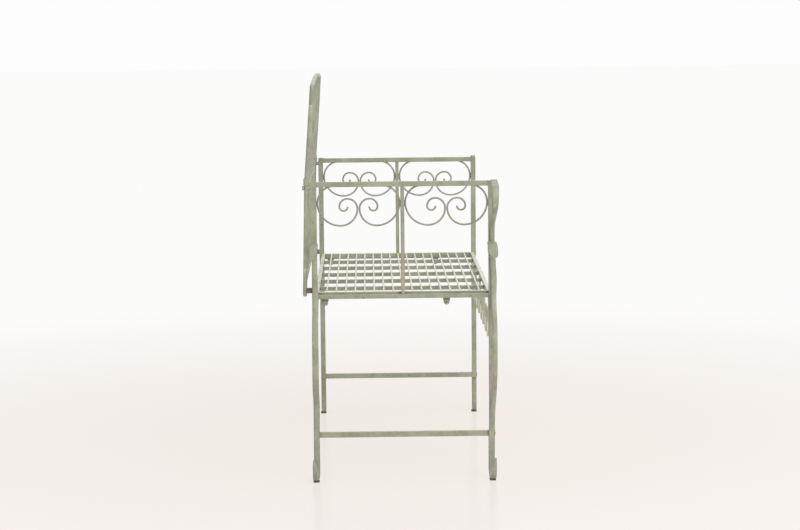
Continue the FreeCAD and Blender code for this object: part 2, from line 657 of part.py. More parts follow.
def back_arch(plane):
    """The bent tube that crowns the back: two legs on the mid rail, two corners and a shallow arch."""
    big = size("back_arch_radius")
    corner = size("back_corner_radius")
    foot_v = plane.reach(size("back_mid_rail_height")) + size("back_rail_section") / 2
    centre_v = size("back_crown_rise") - big
    corner_v = centre_v + math.sqrt((big - corner) ** 2 - (ARCH_X - corner) ** 2)
    slope = math.atan2(ARCH_X - corner, corner_v - centre_v)
    bend = (math.pi / 2 + slope) / 2
    knee = (ARCH_X - corner + corner * math.sin(bend), corner_v + corner * math.cos(bend))
    meet = (big * math.sin(slope), centre_v + big * math.cos(slope))
    half = [(ARCH_X, foot_v), (ARCH_X, corner_v), knee, meet]
    right = [plane.point(u, v) for u, v in half]
    left = [plane.point(-u, v) for u, v in half]
    curves = [
        Part.LineSegment(left[0], left[1]),
        Part.Arc(left[1], left[2], left[3]),
        Part.Arc(left[3], plane.point(0, size("back_crown_rise")), right[3]),
        Part.Arc(right[3], right[2], right[1]),
        Part.LineSegment(right[1], right[0]),
    ]
    path = doc.addObject("Part::Feature", "back_arch_path")
    path.Shape = Part.Wire([curve.toShape() for curve in curves])
    section = doc.addObject("Part::Circle", "back_arch_section")
    section.setExpression("Radius", "sizes.back_tube / 2")
    section.Placement = Placement(left[0], lean_turn(BACK_UPPER_LEAN))
    arch = doc.addObject("Part::Sweep", "back_arch")
    arch.Sections = [section]
    arch.Spine = (path, [f"Edge{number}" for number in range(1, len(curves) + 1)])
    arch.Solid = True
    arch.Frenet = False
    return keep(arch, "back_arch")


def upright_bars(label, plane, lean, low, tops, trim):
    """Round bars that stand in the back, each at a place with its own top, trimmed to the piece above."""
    bars = []
    turn = lean_turn(lean)
    for number, (x, top) in enumerate(tops.items(), start=1):
        start = plane.point(x, low)
        bars.append(rod(f"{label}_{number}", start, turn, "sizes.back_bar_diameter / 2", f"{top - low}"))
    return keep(join("Cut", label, group(label + "_blanks", bars), trim), label)


def back_infill(lower, upper, posts):
    """The arch, the rails and the bars and scrolls between them."""
    half_rail = size("back_rail_section") / 2
    bottom_height = size("back_bottom_rail_height")
    mid_height = size("back_mid_rail_height")
    back_rail("back_bottom_rail", lower, BACK_LOWER_LEAN, bottom_height, posts)
    mid_rail = back_rail("back_mid_rail", upper, BACK_UPPER_LEAN, mid_height, posts)
    arch = back_arch(upper)
    lower_places = [FRAME_X * (2 * n / (BACK_LOWER_BARS + 1) - 1) for n in range(1, BACK_LOWER_BARS + 1)]
    upright_bars("back_lower_bars", lower, BACK_LOWER_LEAN, lower.reach(bottom_height) + half_rail,
                 dict.fromkeys(lower_places, lower.reach(mid_height)), mid_rail)
    rail_top = upper.reach(mid_height) + half_rail
    bay_lines = [ARCH_X * (2 * n / BACK_BAYS - 1) for n in range(BACK_BAYS + 1)]
    big = size("back_arch_radius")
    arch_tops = {x: size("back_crown_rise") - big + math.sqrt(big ** 2 - x ** 2) for x in bay_lines[1:-1]}
    upright_bars("back_upper_bars", upper, BACK_UPPER_LEAN, rail_top, arch_tops, arch)
    for number, (left, right) in enumerate(zip(bay_lines, bay_lines[1:]), start=1):
        label = f"back_scroll_{number}"
        left += size("back_tube" if number == 1 else "back_bar_diameter") / 2
        right -= size("back_tube" if number == BACK_BAYS else "back_bar_diameter") / 2
        origin = upper.point((left + right) / 2, rail_top + size("wire") / 2)
        plane = Plane(origin, upper.across, upper.up * -1)
        keep(scroll(label, plane, scroll_half_width(right - left), size("back_scroll_rise")), label)


def back_sleeve(side, sign, lower, upper):
    """The collar around a back post's joint, which holds its lower and its upper part."""
    half = size("sleeve_length") / 2
    top = lower.reach(size("back_joint_height"))
    turn = lean_turn(BACK_LOWER_LEAN)
    x = sign * FRAME_X
    outer = rod(f"back_sleeve_outer_{side}", lower.point(x, top - half), turn,
                "sizes.sleeve_outer / 2", "sizes.sleeve_length")
    lower_bore = rod(f"back_sleeve_lower_bore_{side}", lower.point(x, top - 2 * half), turn,
                     "sizes.back_tube / 2", "sizes.sleeve_length")
    upper_bore = rod(f"back_sleeve_upper_bore_{side}", upper.point(x, 0), lean_turn(BACK_UPPER_LEAN),
                     "sizes.back_tube / 2 + sizes.sleeve_slack", "sizes.sleeve_length")
    ring = join("Cut", f"back_sleeve_ring_{side}", outer, lower_bore)
    return join("Cut", f"back_sleeve_{side}", ring, upper_bore)


def back_bolt(side, start, length):
    """A bolt from behind, through the back post and its spacer into the rear post."""
    shank = rod(f"back_bolt_shank_{side}", start, AGAINST_Y, "sizes.bolt_diameter / 2", f"{length}")
    head_start = start + Vector(0, size("bolt_head_height"), 0)
    head = rod(f"back_bolt_head_{side}", head_start, AGAINST_Y,
               "sizes.bolt_head_diameter / 2", "sizes.bolt_head_height")
    return join("Fuse", f"back_bolt_{side}", shank, head)


def back_spacer(side, start, length, post):
    """A tube on the back bolt, shaped to the back post at one end."""
    blank = rod(f"back_spacer_blank_{side}", start, ALONG_Y, "sizes.spacer_diameter / 2", f"{length}")
    bore = rod(f"back_spacer_bore_{side}", start, ALONG_Y, "sizes.bolt_hole / 2", f"{length}")
    return join("Cut", f"back_spacer_{side}", join("Cut", f"back_spacer_ring_{side}", blank, bore), post)


def back_bracket(side, sign, rear_face, post):
    """A block between the rear post and the foot of the back post, shaped to the back post."""
    low = "sizes.back_foot_height + sizes.bracket_rise"
    corner = (f"{sign * FRAME_X} - sizes.frame_bar / 2", f"{rear_face}", low)
    depth = "sizes.back_setback - sizes.post_depth / 2 - sizes.back_tube / 4"
    blank = box(f"back_bracket_blank_{side}", corner, ("sizes.frame_bar", depth, "sizes.bracket_height"))
    return join("Cut", f"back_bracket_{side}", blank, post)


def back_panel():
    """The back panel and what holds it to the rear posts."""
    foot = Vector(0, LEG_Y["rear"] + size("back_setback"), size("back_foot_height"))
    lower = lean_plane(BACK_LOWER_LEAN, foot)
    upper = lean_plane(BACK_UPPER_LEAN, lower.point(0, lower.reach(size("back_joint_height"))))
    blanks = [lower_post(f"back_post_blank_{side}", sign, lower) for side, sign in SIDES.items()]
    sets = {"back_sleeves": [], "back_bolts": [], "back_spacers": [], "back_brackets": []}
    rear_face = LEG_Y["rear"] + size("post_depth") / 2
    bolt_v = lower.reach(size("back_bolt_height"))
    for (side, sign), blank in zip(SIDES.items(), blanks):
        axis_spot = lower.point(sign * FRAME_X, bolt_v)
        seat_y = axis_spot.y + size("back_tube") / 2 + size("joint_gap")
        bolt_start = Vector(axis_spot.x, seat_y, axis_spot.z)
        bore_length = "2 * sizes.back_tube"
        bore = rod(f"back_post_bore_{side}", bolt_start, AGAINST_Y, "sizes.bolt_hole / 2", bore_length)
        bored = join("Cut", f"back_post_lower_{side}", blank, bore)
        both = [bored, upper_post(f"back_post_upper_{side}", sign, upper)]
        keep(group(f"back_post_{side}", both), f"back_post_{side}")
        sets["back_sleeves"].append(back_sleeve(side, sign, lower, upper))
        sets["back_bolts"].append(back_bolt(side, bolt_start, seat_y - rear_face + size("bolt_grip")))
        spacer_start = Vector(axis_spot.x, rear_face, axis_spot.z)
        sets["back_spacers"].append(back_spacer(side, spacer_start, axis_spot.y - rear_face, blank))
        sets["back_brackets"].append(back_bracket(side, sign, rear_face, blank))
    for label, members in sets.items():
        keep(group(label, members), label)
    back_infill(lower, upper, blanks)


for side_name, side_sign in SIDES.items():
    side_frame(side_name, side_sign)
seat()
apron()
seat_fixings()
back_panel()
doc.recompute()

# Nothing is written unless every object is sound
for item in doc.Objects:
    if "Invalid" in item.State or "Error" in item.State:
        raise RuntimeError(f"{item.Name} did not build: {item.State}")
for piece in pieces:
    if piece.Shape.isNull() or not piece.Shape.isValid() or not piece.Shape.Solids:
        raise RuntimeError(f"{piece.Label} has no sound shape")

os.makedirs("parts", exist_ok=True)
for piece in pieces:
    piece.Shape.exportStep(f"parts/{piece.Label}.step")
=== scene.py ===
"""Looks of a two-seat iron garden bench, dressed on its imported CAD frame."""
import json
import logging
import math
from dataclasses import dataclass, field
from enum import Enum
from typing import Any

import bpy
import bmesh
from mathutils import Matrix, Vector

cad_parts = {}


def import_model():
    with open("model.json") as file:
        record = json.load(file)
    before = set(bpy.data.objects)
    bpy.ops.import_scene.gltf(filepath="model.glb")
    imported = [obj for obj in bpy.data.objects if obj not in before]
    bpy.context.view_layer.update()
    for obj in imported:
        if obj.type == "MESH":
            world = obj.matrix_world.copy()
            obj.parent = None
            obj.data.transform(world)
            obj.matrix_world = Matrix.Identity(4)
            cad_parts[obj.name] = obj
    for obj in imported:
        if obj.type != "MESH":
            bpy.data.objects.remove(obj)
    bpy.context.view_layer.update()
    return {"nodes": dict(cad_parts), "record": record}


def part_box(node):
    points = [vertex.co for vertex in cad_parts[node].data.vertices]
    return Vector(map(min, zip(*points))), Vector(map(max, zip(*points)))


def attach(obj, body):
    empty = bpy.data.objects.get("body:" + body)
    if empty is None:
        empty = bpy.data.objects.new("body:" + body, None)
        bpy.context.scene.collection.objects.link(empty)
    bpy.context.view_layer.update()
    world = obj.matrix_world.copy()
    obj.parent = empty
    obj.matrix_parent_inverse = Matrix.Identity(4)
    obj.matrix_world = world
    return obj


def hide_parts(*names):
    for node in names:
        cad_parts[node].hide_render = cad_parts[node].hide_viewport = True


LOG = logging.getLogger("garden_bench")
MM = 0.001
BODY = "root"
LEAST_SPAN = 1e-6
# A Mix node's colour sockets go by number, because its sockets for numbers have the same names
MIX_UNDER, MIX_OVER, MIX_RESULT = 6, 7, 2


class Slot(Enum):
    """The record's material slots, by which the CAD nodes take their finish."""

    PAINT = "sage_paint"
    BOLT = "bolt_steel"
    GLIDE = "black_glide"


class Side(Enum):
    """The ends of the bench as seen from in front, with the way outwards along the bench."""

    LEFT = -1
    RIGHT = 1


class Section(Enum):
    """How a CAD piece is finished: square bars get rounded edges, round bars stay as they are."""

    SQUARE = "square"
    ROUND = "round"


def linear(hex_colour: str) -> tuple[float, float, float, float]:
    """Turns an sRGB hex colour into linear light.

    Args:
        hex_colour: The colour as six hex digits after a hash sign.

    Returns:
        Red, green, blue and a full alpha.
    """
    parts = [int(hex_colour[i:i + 2], 16) / 255 for i in (1, 3, 5)]
    light = [part / 12.92 if part <= 0.04045 else ((part + 0.055) / 1.055) ** 2.4 for part in parts]
    return (*light, 1.0)


def add_node(tree: bpy.types.NodeTree, kind: str, inputs: dict[Any, Any] | None = None,
             **settings: Any) -> bpy.types.Node:
    """Adds a node to a tree, with its settings, values and links.

    Args:
        tree: The node tree.
        kind: The node's type name.
        inputs: Values by input name or number. An output socket is linked, anything else is set.
        settings: Properties of the node.

    Returns:
        The new node.
    """
    node = tree.nodes.new(kind)
    for name, value in settings.items():
        setattr(node, name, value)
    for key, value in (inputs or {}).items():
        if isinstance(value, bpy.types.NodeSocket):
            tree.links.new(value, node.inputs[key])
        else:
            node.inputs[key].default_value = value
    return node


def new_material(name: str) -> tuple[bpy.types.Material, bpy.types.NodeTree, bpy.types.Node]:
    """Starts a node material that has only its output.

    Args:
        name: The material's name.

    Returns:
        The material, its tree and its output node.
    """
    material = bpy.data.materials.new(name)
    material.use_nodes = True
    tree = material.node_tree
    tree.nodes.clear()
    return material, tree, add_node(tree, "ShaderNodeOutputMaterial")


def per_metre(size_mm: float) -> float:
    """The scale of a pattern whose features are this many millimetres across."""
    return 1.0 / (size_mm * MM)


@dataclass(frozen=True)
class Patches:
    """Clouds of one size, cut to patches with soft edges.

    A patch starts where the clouds pass the first limit and is full past the second. An upright share
    below one draws the clouds out in height.
    """

    size_mm: float
    detail: float
    limits: tuple[float, float]
    upright_share: float = 1.0

    def mask(self, tree: bpy.types.NodeTree, place: bpy.types.NodeSocket,
             strength: float = 1.0) -> bpy.types.NodeSocket:
        """Adds the patches to a material.

        Args:
            tree: The material's tree.
            place: The coordinates in which they lie.
            strength: How strong a full patch is.

        Returns:
            The mask that they make.
        """
        if self.upright_share < 1.0:
            place = add_node(tree, "ShaderNodeMapping", {
                "Vector": place, "Scale": (1.0, 1.0, self.upright_share)}).outputs["Vector"]
        clouds = add_node(tree, "ShaderNodeTexNoise", {
            "Vector": place, "Scale": per_metre(self.size_mm), "Detail": self.detail}).outputs["Fac"]
        return add_node(tree, "ShaderNodeMapRange", {
            "Value": clouds, "From Min": self.limits[0], "From Max": self.limits[1], "To Max": strength},
            interpolation_type="SMOOTHSTEP").outputs["Result"]


@dataclass(frozen=True)
class AgedPaint:
    """Sage green enamel, brushed on wrought iron, rubbed back by hand and weathered.

    The eye sees soft blotches and a fine mottle of two greens; tops in another tone, partly weather chalk and
    partly painted top light, darker on the straps as painted shade; a pinkish undercoat on rubbed edges; thin
    painted shade along the edges of straps; a few brown chips; and painted shade in the corners, under a
    satin gloss.
    """

    name: str = "aged_sage_enamel_on_iron"
    deep: str = "#92967F"
    pale: str = "#A8AB95"
    # The tone of faces that look up: partly weather chalk, partly painted top light, and painted shade where
    # it is darker
    top_chalk_and_shading: str = "#CFCCBE"
    undercoat: str = "#B7A393"
    rust: str = "#6B553F"
    # Painted shade: the dark colour laid in corners where little light gets in
    corner_shade: str = "#5C5747"
    fleck: str = "#D3D0BC"
    # Painted shade along the edges of a strap, where its sides turn from the light
    seam: str = "#726E5A"
    blotch_mm: float = 42.0
    blotch_detail: float = 3.0
    blotch_fade: float = 0.22
    mottle_mm: float = 7.0
    mottle_detail: float = 4.0
    mottle_share: float = 0.45
    top_chalk_and_shading_share: float = 0.45
    top_chalk_and_shading_from: float = 0.75
    top_chalk_and_shading_full: float = 0.97
    top_chalk_and_shading_patches: Patches = Patches(30.0, 4.0, (0.2, 0.55))
    edge_mm: float = 2.0
    edge_samples: int = 6
    edge_match: tuple[float, float] = (0.985, 0.90)
    rub_share: float = 0.75
    rub_patches: Patches = Patches(30.0, 5.0, (0.46, 0.64))
    band_mm: tuple[float, float] | None = None
    band_fade_share: float = 0.25
    streaks: Patches = Patches(7.0, 3.0, (0.42, 0.6), 0.15)
    streak_share: float = 0.85
    strap_edge_shade_share: float = 0.0
    strap_edge_shade_reach: tuple[float, float] = (0.55, 0.85)
    strap_edge_shade_patches: Patches = Patches(30.0, 3.0, (0.3, 0.6))
    flecks: Patches = Patches(6.0, 3.0, (0.6, 0.68), 0.45)
    fleck_share: float = 0.1
    fleck_patches: Patches = Patches(42.0, 2.0, (0.5, 0.62))
    chips: Patches = Patches(15.0, 4.0, (0.69, 0.74))
    chip_share: float = 0.9
    corner_mm: float = 9.0
    corner_samples: int = 8
    corner_light: tuple[float, float] = (0.62, 0.3)
    corner_shade_share: float = 0.85
    corner_shade_patches: Patches = Patches(7.0, 3.0, (0.3, 0.55))
    # Real brush marks are finer, and are drawn this coarse so that they show in the render
    grain_mm: float = 2.2
    grain_detail: float = 3.0
    grain_strength: float = 0.2
    grain_depth_mm: float = 0.3
    gloss_mm: float = 30.0
    gloss_detail: float = 2.0
    roughness: tuple[float, float] = (0.30, 0.48)
    ior: float = 1.5

    def material(self) -> bpy.types.Material:
        """Builds the paint.

        Returns:
            The material.
        """
        material, tree, output = new_material(self.name)
        place = add_node(tree, "ShaderNodeTexCoord").outputs["Object"]
        coats = PaintCoats(self, tree, place, linear(self.deep))
        coats.lay_all()
        grain = add_node(tree, "ShaderNodeTexNoise", {
            "Vector": place, "Scale": per_metre(self.grain_mm), "Detail": self.grain_detail}).outputs["Fac"]
        bump = add_node(tree, "ShaderNodeBump", {
            "Height": grain, "Strength": self.grain_strength, "Distance": self.grain_depth_mm * MM})
        gloss = add_node(tree, "ShaderNodeTexNoise", {
            "Vector": place, "Scale": per_metre(self.gloss_mm), "Detail": self.gloss_detail}).outputs["Fac"]
        rough = add_node(tree, "ShaderNodeMapRange", {
            "Value": gloss, "To Min": self.roughness[0], "To Max": self.roughness[1]}).outputs["Result"]
        shader = add_node(tree, "ShaderNodeBsdfPrincipled", {
            "Base Color": coats.colour, "Roughness": rough, "Normal": bump.outputs["Normal"],
            "Metallic": 0.0, "IOR": self.ior})
        tree.links.new(shader.outputs["BSDF"], output.inputs["Surface"])
        return material


@dataclass
class PaintCoats:
    """The coats of a paint, which are laid over each other in the tree of its material."""

    paint: AgedPaint
    tree: bpy.types.NodeTree
    place: bpy.types.NodeSocket
    colour: bpy.types.NodeSocket | tuple[float, float, float, float]

    def lay_all(self) -> None:
        """Lays every coat in order, from the two greens up to the painted shade in the corners."""
        self.lay_greens()
        self.chalk_and_shade_tops()
        self.rub_edges()
        if self.paint.band_mm:
            self.rub_band()
        if self.paint.strap_edge_shade_share:
            self.paint_strap_edge_shade()
        self.flake_and_chip()
        self.paint_corner_shade()

    def lay(self, over: str, *masks: bpy.types.NodeSocket) -> None:
        """Lays a colour over the coats so far.

        Args:
            over: The colour in hex.
            masks: Where it shows, which is where all of them are full.
        """
        mask = masks[0]
        for other in masks[1:]:
            mask = add_node(self.tree, "ShaderNodeMath", {0: mask, 1: other}, operation="MULTIPLY").outputs[0]
        self.colour = add_node(self.tree, "ShaderNodeMix", {
            "Factor": mask, MIX_UNDER: self.colour, MIX_OVER: linear(over)},
            data_type="RGBA").outputs[MIX_RESULT]

    def lay_where(self, over: str, measure: bpy.types.NodeSocket, limits: tuple[float, float],
                  share: float, patches: Patches) -> None:
        """Lays a colour where a measure of the surface passes its limits, broken up in patches.

        Args:
            over: The colour in hex.
            measure: What is measured.
            limits: Where the colour starts and where it is full.
            share: How strong it is where it is full.
            patches: The patches in which it shows.
        """
        reach = add_node(self.tree, "ShaderNodeMapRange", {
            "Value": measure, "From Min": limits[0], "From Max": limits[1], "To Max": share},
            interpolation_type="SMOOTHSTEP").outputs["Result"]
        self.lay(over, reach, patches.mask(self.tree, self.place))

    def lay_greens(self) -> None:
        """Two greens in soft clouds with a fine mottle, as thin enamel over iron has."""
        paint = self.paint
        grades = ((paint.blotch_mm, paint.blotch_detail), (paint.mottle_mm, paint.mottle_detail))
        clouds, mottle = (add_node(self.tree, "ShaderNodeTexNoise", {
            "Vector": self.place, "Scale": per_metre(size_mm), "Detail": detail}).outputs["Fac"]
            for size_mm, detail in grades)
        both = add_node(self.tree, "ShaderNodeMath", {
            0: mottle, 1: paint.mottle_share, 2: clouds}, operation="MULTIPLY_ADD").outputs[0]
        middle = (1.0 + paint.mottle_share) / 2
        blotches = add_node(self.tree, "ShaderNodeMapRange", {
            "Value": both, "From Min": middle - paint.blotch_fade, "From Max": middle + paint.blotch_fade},
            interpolation_type="SMOOTHSTEP").outputs["Result"]
        self.lay(paint.pale, blotches)

    def chalk_and_shade_tops(self) -> None:
        """A tone on faces that look up: weather chalk there, and painted top light; where the tone is darker
        than the paint, as on the straps, it is painted shade.
        """
        paint = self.paint
        normal = add_node(self.tree, "ShaderNodeNewGeometry").outputs["Normal"]
        up = add_node(self.tree, "ShaderNodeSeparateXYZ", {"Vector": normal}).outputs["Z"]
        limits = (paint.top_chalk_and_shading_from, paint.top_chalk_and_shading_full)
        self.lay_where(paint.top_chalk_and_shading, up, limits, paint.top_chalk_and_shading_share, paint.top_chalk_and_shading_patches)

    def rub_edges(self) -> None:
        """Pinkish undercoat where a rounded normal leaves the true one, which is along the edges."""
        paint = self.paint
        true_normal = add_node(self.tree, "ShaderNodeNewGeometry").outputs["True Normal"]
        round_normal = add_node(self.tree, "ShaderNodeBevel", {"Radius": paint.edge_mm * MM},
                                samples=paint.edge_samples).outputs["Normal"]
        match = add_node(self.tree, "ShaderNodeVectorMath", {0: true_normal, 1: round_normal},
                         operation="DOT_PRODUCT").outputs["Value"]
        self.lay_where(paint.undercoat, match, paint.edge_match, paint.rub_share, paint.rub_patches)

    def rub_band(self) -> None:
        """Undercoat in long streaks between two heights, where hands and clothes have rubbed."""
        low, high = (level * MM for level in self.paint.band_mm)
        fade = (high - low) * self.paint.band_fade_share
        height = add_node(self.tree, "ShaderNodeSeparateXYZ", {"Vector": self.place}).outputs["Z"]
        above, below = (add_node(self.tree, "ShaderNodeMapRange", {
            "Value": height, "From Min": outside, "From Max": inside},
            interpolation_type="SMOOTHSTEP").outputs["Result"]
            for outside, inside in ((low, low + fade), (high + fade, high)))
        streaks = self.paint.streaks.mask(self.tree, self.place, self.paint.streak_share)
        self.lay(self.paint.undercoat, above, below, streaks)

    def paint_strap_edge_shade(self) -> None:
        """Painted shade: thin brown paint along both edges of a strap, for the shade on its sides. The mesh
        tells how far across a point lies.
        """
        paint = self.paint
        across = add_node(self.tree, "ShaderNodeAttribute", attribute_name="ring_place").outputs["Vector"]
        across = add_node(self.tree, "ShaderNodeSeparateXYZ", {"Vector": across}).outputs["X"]
        reach = add_node(self.tree, "ShaderNodeMath", {0: across}, operation="ABSOLUTE").outputs[0]
        self.lay_where(paint.seam, reach, paint.strap_edge_shade_reach, paint.strap_edge_shade_share, paint.strap_edge_shade_patches)

    def flake_and_chip(self) -> None:
        """Small upright cream flecks of bare primer, and a few brown chips down to the iron."""
        paint = self.paint
        self.lay(paint.fleck, paint.flecks.mask(self.tree, self.place, paint.fleck_share),
                 paint.fleck_patches.mask(self.tree, self.place))
        self.lay(paint.rust, paint.chips.mask(self.tree, self.place, paint.chip_share))

    def paint_corner_shade(self) -> None:
        """Painted shade: dark paint where pieces meet and little light gets in, as ambient occlusion finds
        it.
        """
        paint = self.paint
        light = add_node(self.tree, "ShaderNodeAmbientOcclusion", {"Distance": paint.corner_mm * MM},
                         samples=paint.corner_samples).outputs["AO"]
        self.lay_where(paint.corner_shade, light, paint.corner_light, paint.corner_shade_share, paint.corner_shade_patches)


@dataclass(frozen=True)
class ZincSteel:
    """Zinc-plated bolt steel, brushed over with the same paint and worn bare in spots.

    The eye sees grey-green paint, broken by dull brown metal where a spanner has been.
    """

    name: str = "painted_zinc_plated_steel"
    dark: str = "#615C4C"
    pale: str = "#A3A28D"
    spot_mm: float = 3.0
    spot_detail: float = 3.0
    paint_limits: tuple[float, float] = (0.38, 0.5)
    roughness: tuple[float, float] = (0.35, 0.6)

    def material(self) -> bpy.types.Material:
        """Builds the metal.

        Returns:
            The material.
        """
        material, tree, output = new_material(self.name)
        place = add_node(tree, "ShaderNodeTexCoord").outputs["Object"]
        spots = add_node(tree, "ShaderNodeTexNoise", {
            "Vector": place, "Scale": per_metre(self.spot_mm), "Detail": self.spot_detail}).outputs["Fac"]
        coat = add_node(tree, "ShaderNodeMapRange", {
            "Value": spots, "From Min": self.paint_limits[0],
            "From Max": self.paint_limits[1]}).outputs["Result"]
        mix = add_node(tree, "ShaderNodeMix", {
            "Factor": coat, MIX_UNDER: linear(self.dark), MIX_OVER: linear(self.pale)}, data_type="RGBA")
        bare = add_node(tree, "ShaderNodeMath", {0: 1.0, 1: coat}, operation="SUBTRACT").outputs[0]
        rough = add_node(tree, "ShaderNodeMapRange", {
            "Value": spots, "To Min": self.roughness[0], "To Max": self.roughness[1]})
        shader = add_node(tree, "ShaderNodeBsdfPrincipled", {
            "Base Color": mix.outputs[MIX_RESULT], "Roughness": rough.outputs["Result"], "Metallic": bare})
        tree.links.new(shader.outputs["BSDF"], output.inputs["Surface"])
        return material


@dataclass(frozen=True)
class GlidePlastic:
    """Black polyethylene, moulded with a fine matt texture and gone dull with dust.

    The eye sees a dark brown-grey edge under each foot, scuffed paler in places.
    """

    name: str = "black_polyethylene"
    # Paler than the plastic's own dark colour, as painted light against the shadow under the feet
    black: str = "#5A5544"
    scuff: str = "#7D7865"
    scuff_mm: float = 6.0
    scuff_limits: tuple[float, float] = (0.5, 0.75)
    scuff_share: float = 0.7
    # Real moulded grit is finer, and is drawn this coarse so that it shows from close by
    grit_mm: float = 0.8
    grit_strength: float = 0.4
    grit_depth_mm: float = 0.1
    roughness: float = 0.55
    ior: float = 1.51

    def material(self) -> bpy.types.Material:
        """Builds the plastic.

        Returns:
            The material.
        """
        material, tree, output = new_material(self.name)
        place = add_node(tree, "ShaderNodeTexCoord").outputs["Object"]
        scuffs = add_node(tree, "ShaderNodeTexNoise", {"Vector": place, "Scale": per_metre(self.scuff_mm)})
        mask = add_node(tree, "ShaderNodeMapRange", {
            "Value": scuffs.outputs["Fac"], "From Min": self.scuff_limits[0],
            "From Max": self.scuff_limits[1], "To Max": self.scuff_share})
        mix = add_node(tree, "ShaderNodeMix", {
            "Factor": mask.outputs["Result"], MIX_UNDER: linear(self.black), MIX_OVER: linear(self.scuff)},
            data_type="RGBA")
        grit = add_node(tree, "ShaderNodeTexNoise", {"Vector": place, "Scale": per_metre(self.grit_mm)})
        bump = add_node(tree, "ShaderNodeBump", {
            "Height": grit.outputs["Fac"], "Strength": self.grit_strength,
            "Distance": self.grit_depth_mm * MM})
        shader = add_node(tree, "ShaderNodeBsdfPrincipled", {
            "Base Color": mix.outputs[MIX_RESULT], "Normal": bump.outputs["Normal"],
            "Roughness": self.roughness, "IOR": self.ior})
        tree.links.new(shader.outputs["BSDF"], output.inputs["Surface"])
        return material


@dataclass(frozen=True)
class StudioFloor:
    """Seamless studio paper, lit from behind: warm white near the object, plain white far from it.

    The camera sees the glow of the paper, with a faint soft shadow under the feet.
    """

    name: str = "seamless_paper"
    paper: str = "#F3ECE6"
    glow: str = "#F6F0EB"
    far: str = "#FDFDFD"
    glow_share: float = 0.8
    gloss_share: float = 0.1
    gloss_roughness: float = 0.18
    warm_radius: float = 0.3
    white_radius: float = 3.1

    def material(self) -> bpy.types.Material:
        """Builds the paper.

        Returns:
            The material.
        """
        material, tree, output = new_material(self.name)
        place = add_node(tree, "ShaderNodeTexCoord").outputs["Object"]
        reach = add_node(tree, "ShaderNodeVectorMath", {0: place}, operation="LENGTH").outputs["Value"]
        fade = add_node(tree, "ShaderNodeMapRange", {
            "Value": reach, "From Min": self.warm_radius, "From Max": self.white_radius},
            interpolation_type="SMOOTHSTEP").outputs["Result"]
        seen = seen_by_eye(tree)
        share = add_node(tree, "ShaderNodeMapRange", {
            "Value": fade, "To Min": self.glow_share}).outputs["Result"]
        share = add_node(tree, "ShaderNodeMath", {0: share, 1: seen}, operation="MULTIPLY").outputs[0]
        colour = add_node(tree, "ShaderNodeMix", {
            "Factor": fade, MIX_UNDER: linear(self.glow), MIX_OVER: linear(self.far)},
            data_type="RGBA").outputs[MIX_RESULT]
        paper = add_node(tree, "ShaderNodeBsdfDiffuse", {"Color": linear(self.paper)}).outputs["BSDF"]
        glow = add_node(tree, "ShaderNodeEmission", {"Color": colour}).outputs["Emission"]
        lit = add_node(tree, "ShaderNodeMixShader", {0: share, 1: paper, 2: glow}).outputs["Shader"]
        mirror = add_node(tree, "ShaderNodeBsdfGlossy", {
            "Color": linear(self.glow), "Roughness": self.gloss_roughness}).outputs["BSDF"]
        shader = add_node(tree, "ShaderNodeMixShader", {0: self.gloss_share, 1: lit, 2: mirror})
        tree.links.new(shader.outputs["Shader"], output.inputs["Surface"])
        return material


def seen_by_eye(tree: bpy.types.NodeTree) -> bpy.types.NodeSocket:
    """A mask that is full for what the camera sees, straight or in a reflection or through glass.

    Args:
        tree: The tree of the floor's material or of the world.

    Returns:
        The mask.
    """
    path = add_node(tree, "ShaderNodeLightPath").outputs
    seen = add_node(tree, "ShaderNodeMath", {0: path["Is Camera Ray"], 1: path["Is Glossy Ray"]},
                    operation="MAXIMUM").outputs[0]
    return add_node(tree, "ShaderNodeMath", {0: seen, 1: path["Is Transmission Ray"]},
                    operation="MAXIMUM").outputs[0]


class Wear(Enum):
    """How the paint of a piece has worn and where light or shade is painted on it, with the words by which
    such pieces are known.

    The first kind with a word that is in the piece's name holds, and the last kind takes all the rest.
    """

    CREAM = ("seat_rods",)
    SEAT_BARS = ("seat_front_rail", "seat_rear_rail", "seat_end_bar", "seat_cross_bar")
    BACK_ENDS = ("back_post",)
    FRONT_EDGES = ("front_post_left", "arm_mid_post_left")
    SHELTERED = ("back_brackets",)
    HANDLED = ("arm_rail",)
    FORGED = ("_leg_", "arm_roll")
    EVEN = ("",)

    @classmethod
    def of(cls, name: str) -> "Wear":
        """The wear of a CAD node, from its name."""
        return next(wear for wear in cls if any(word in name for word in wear.value))


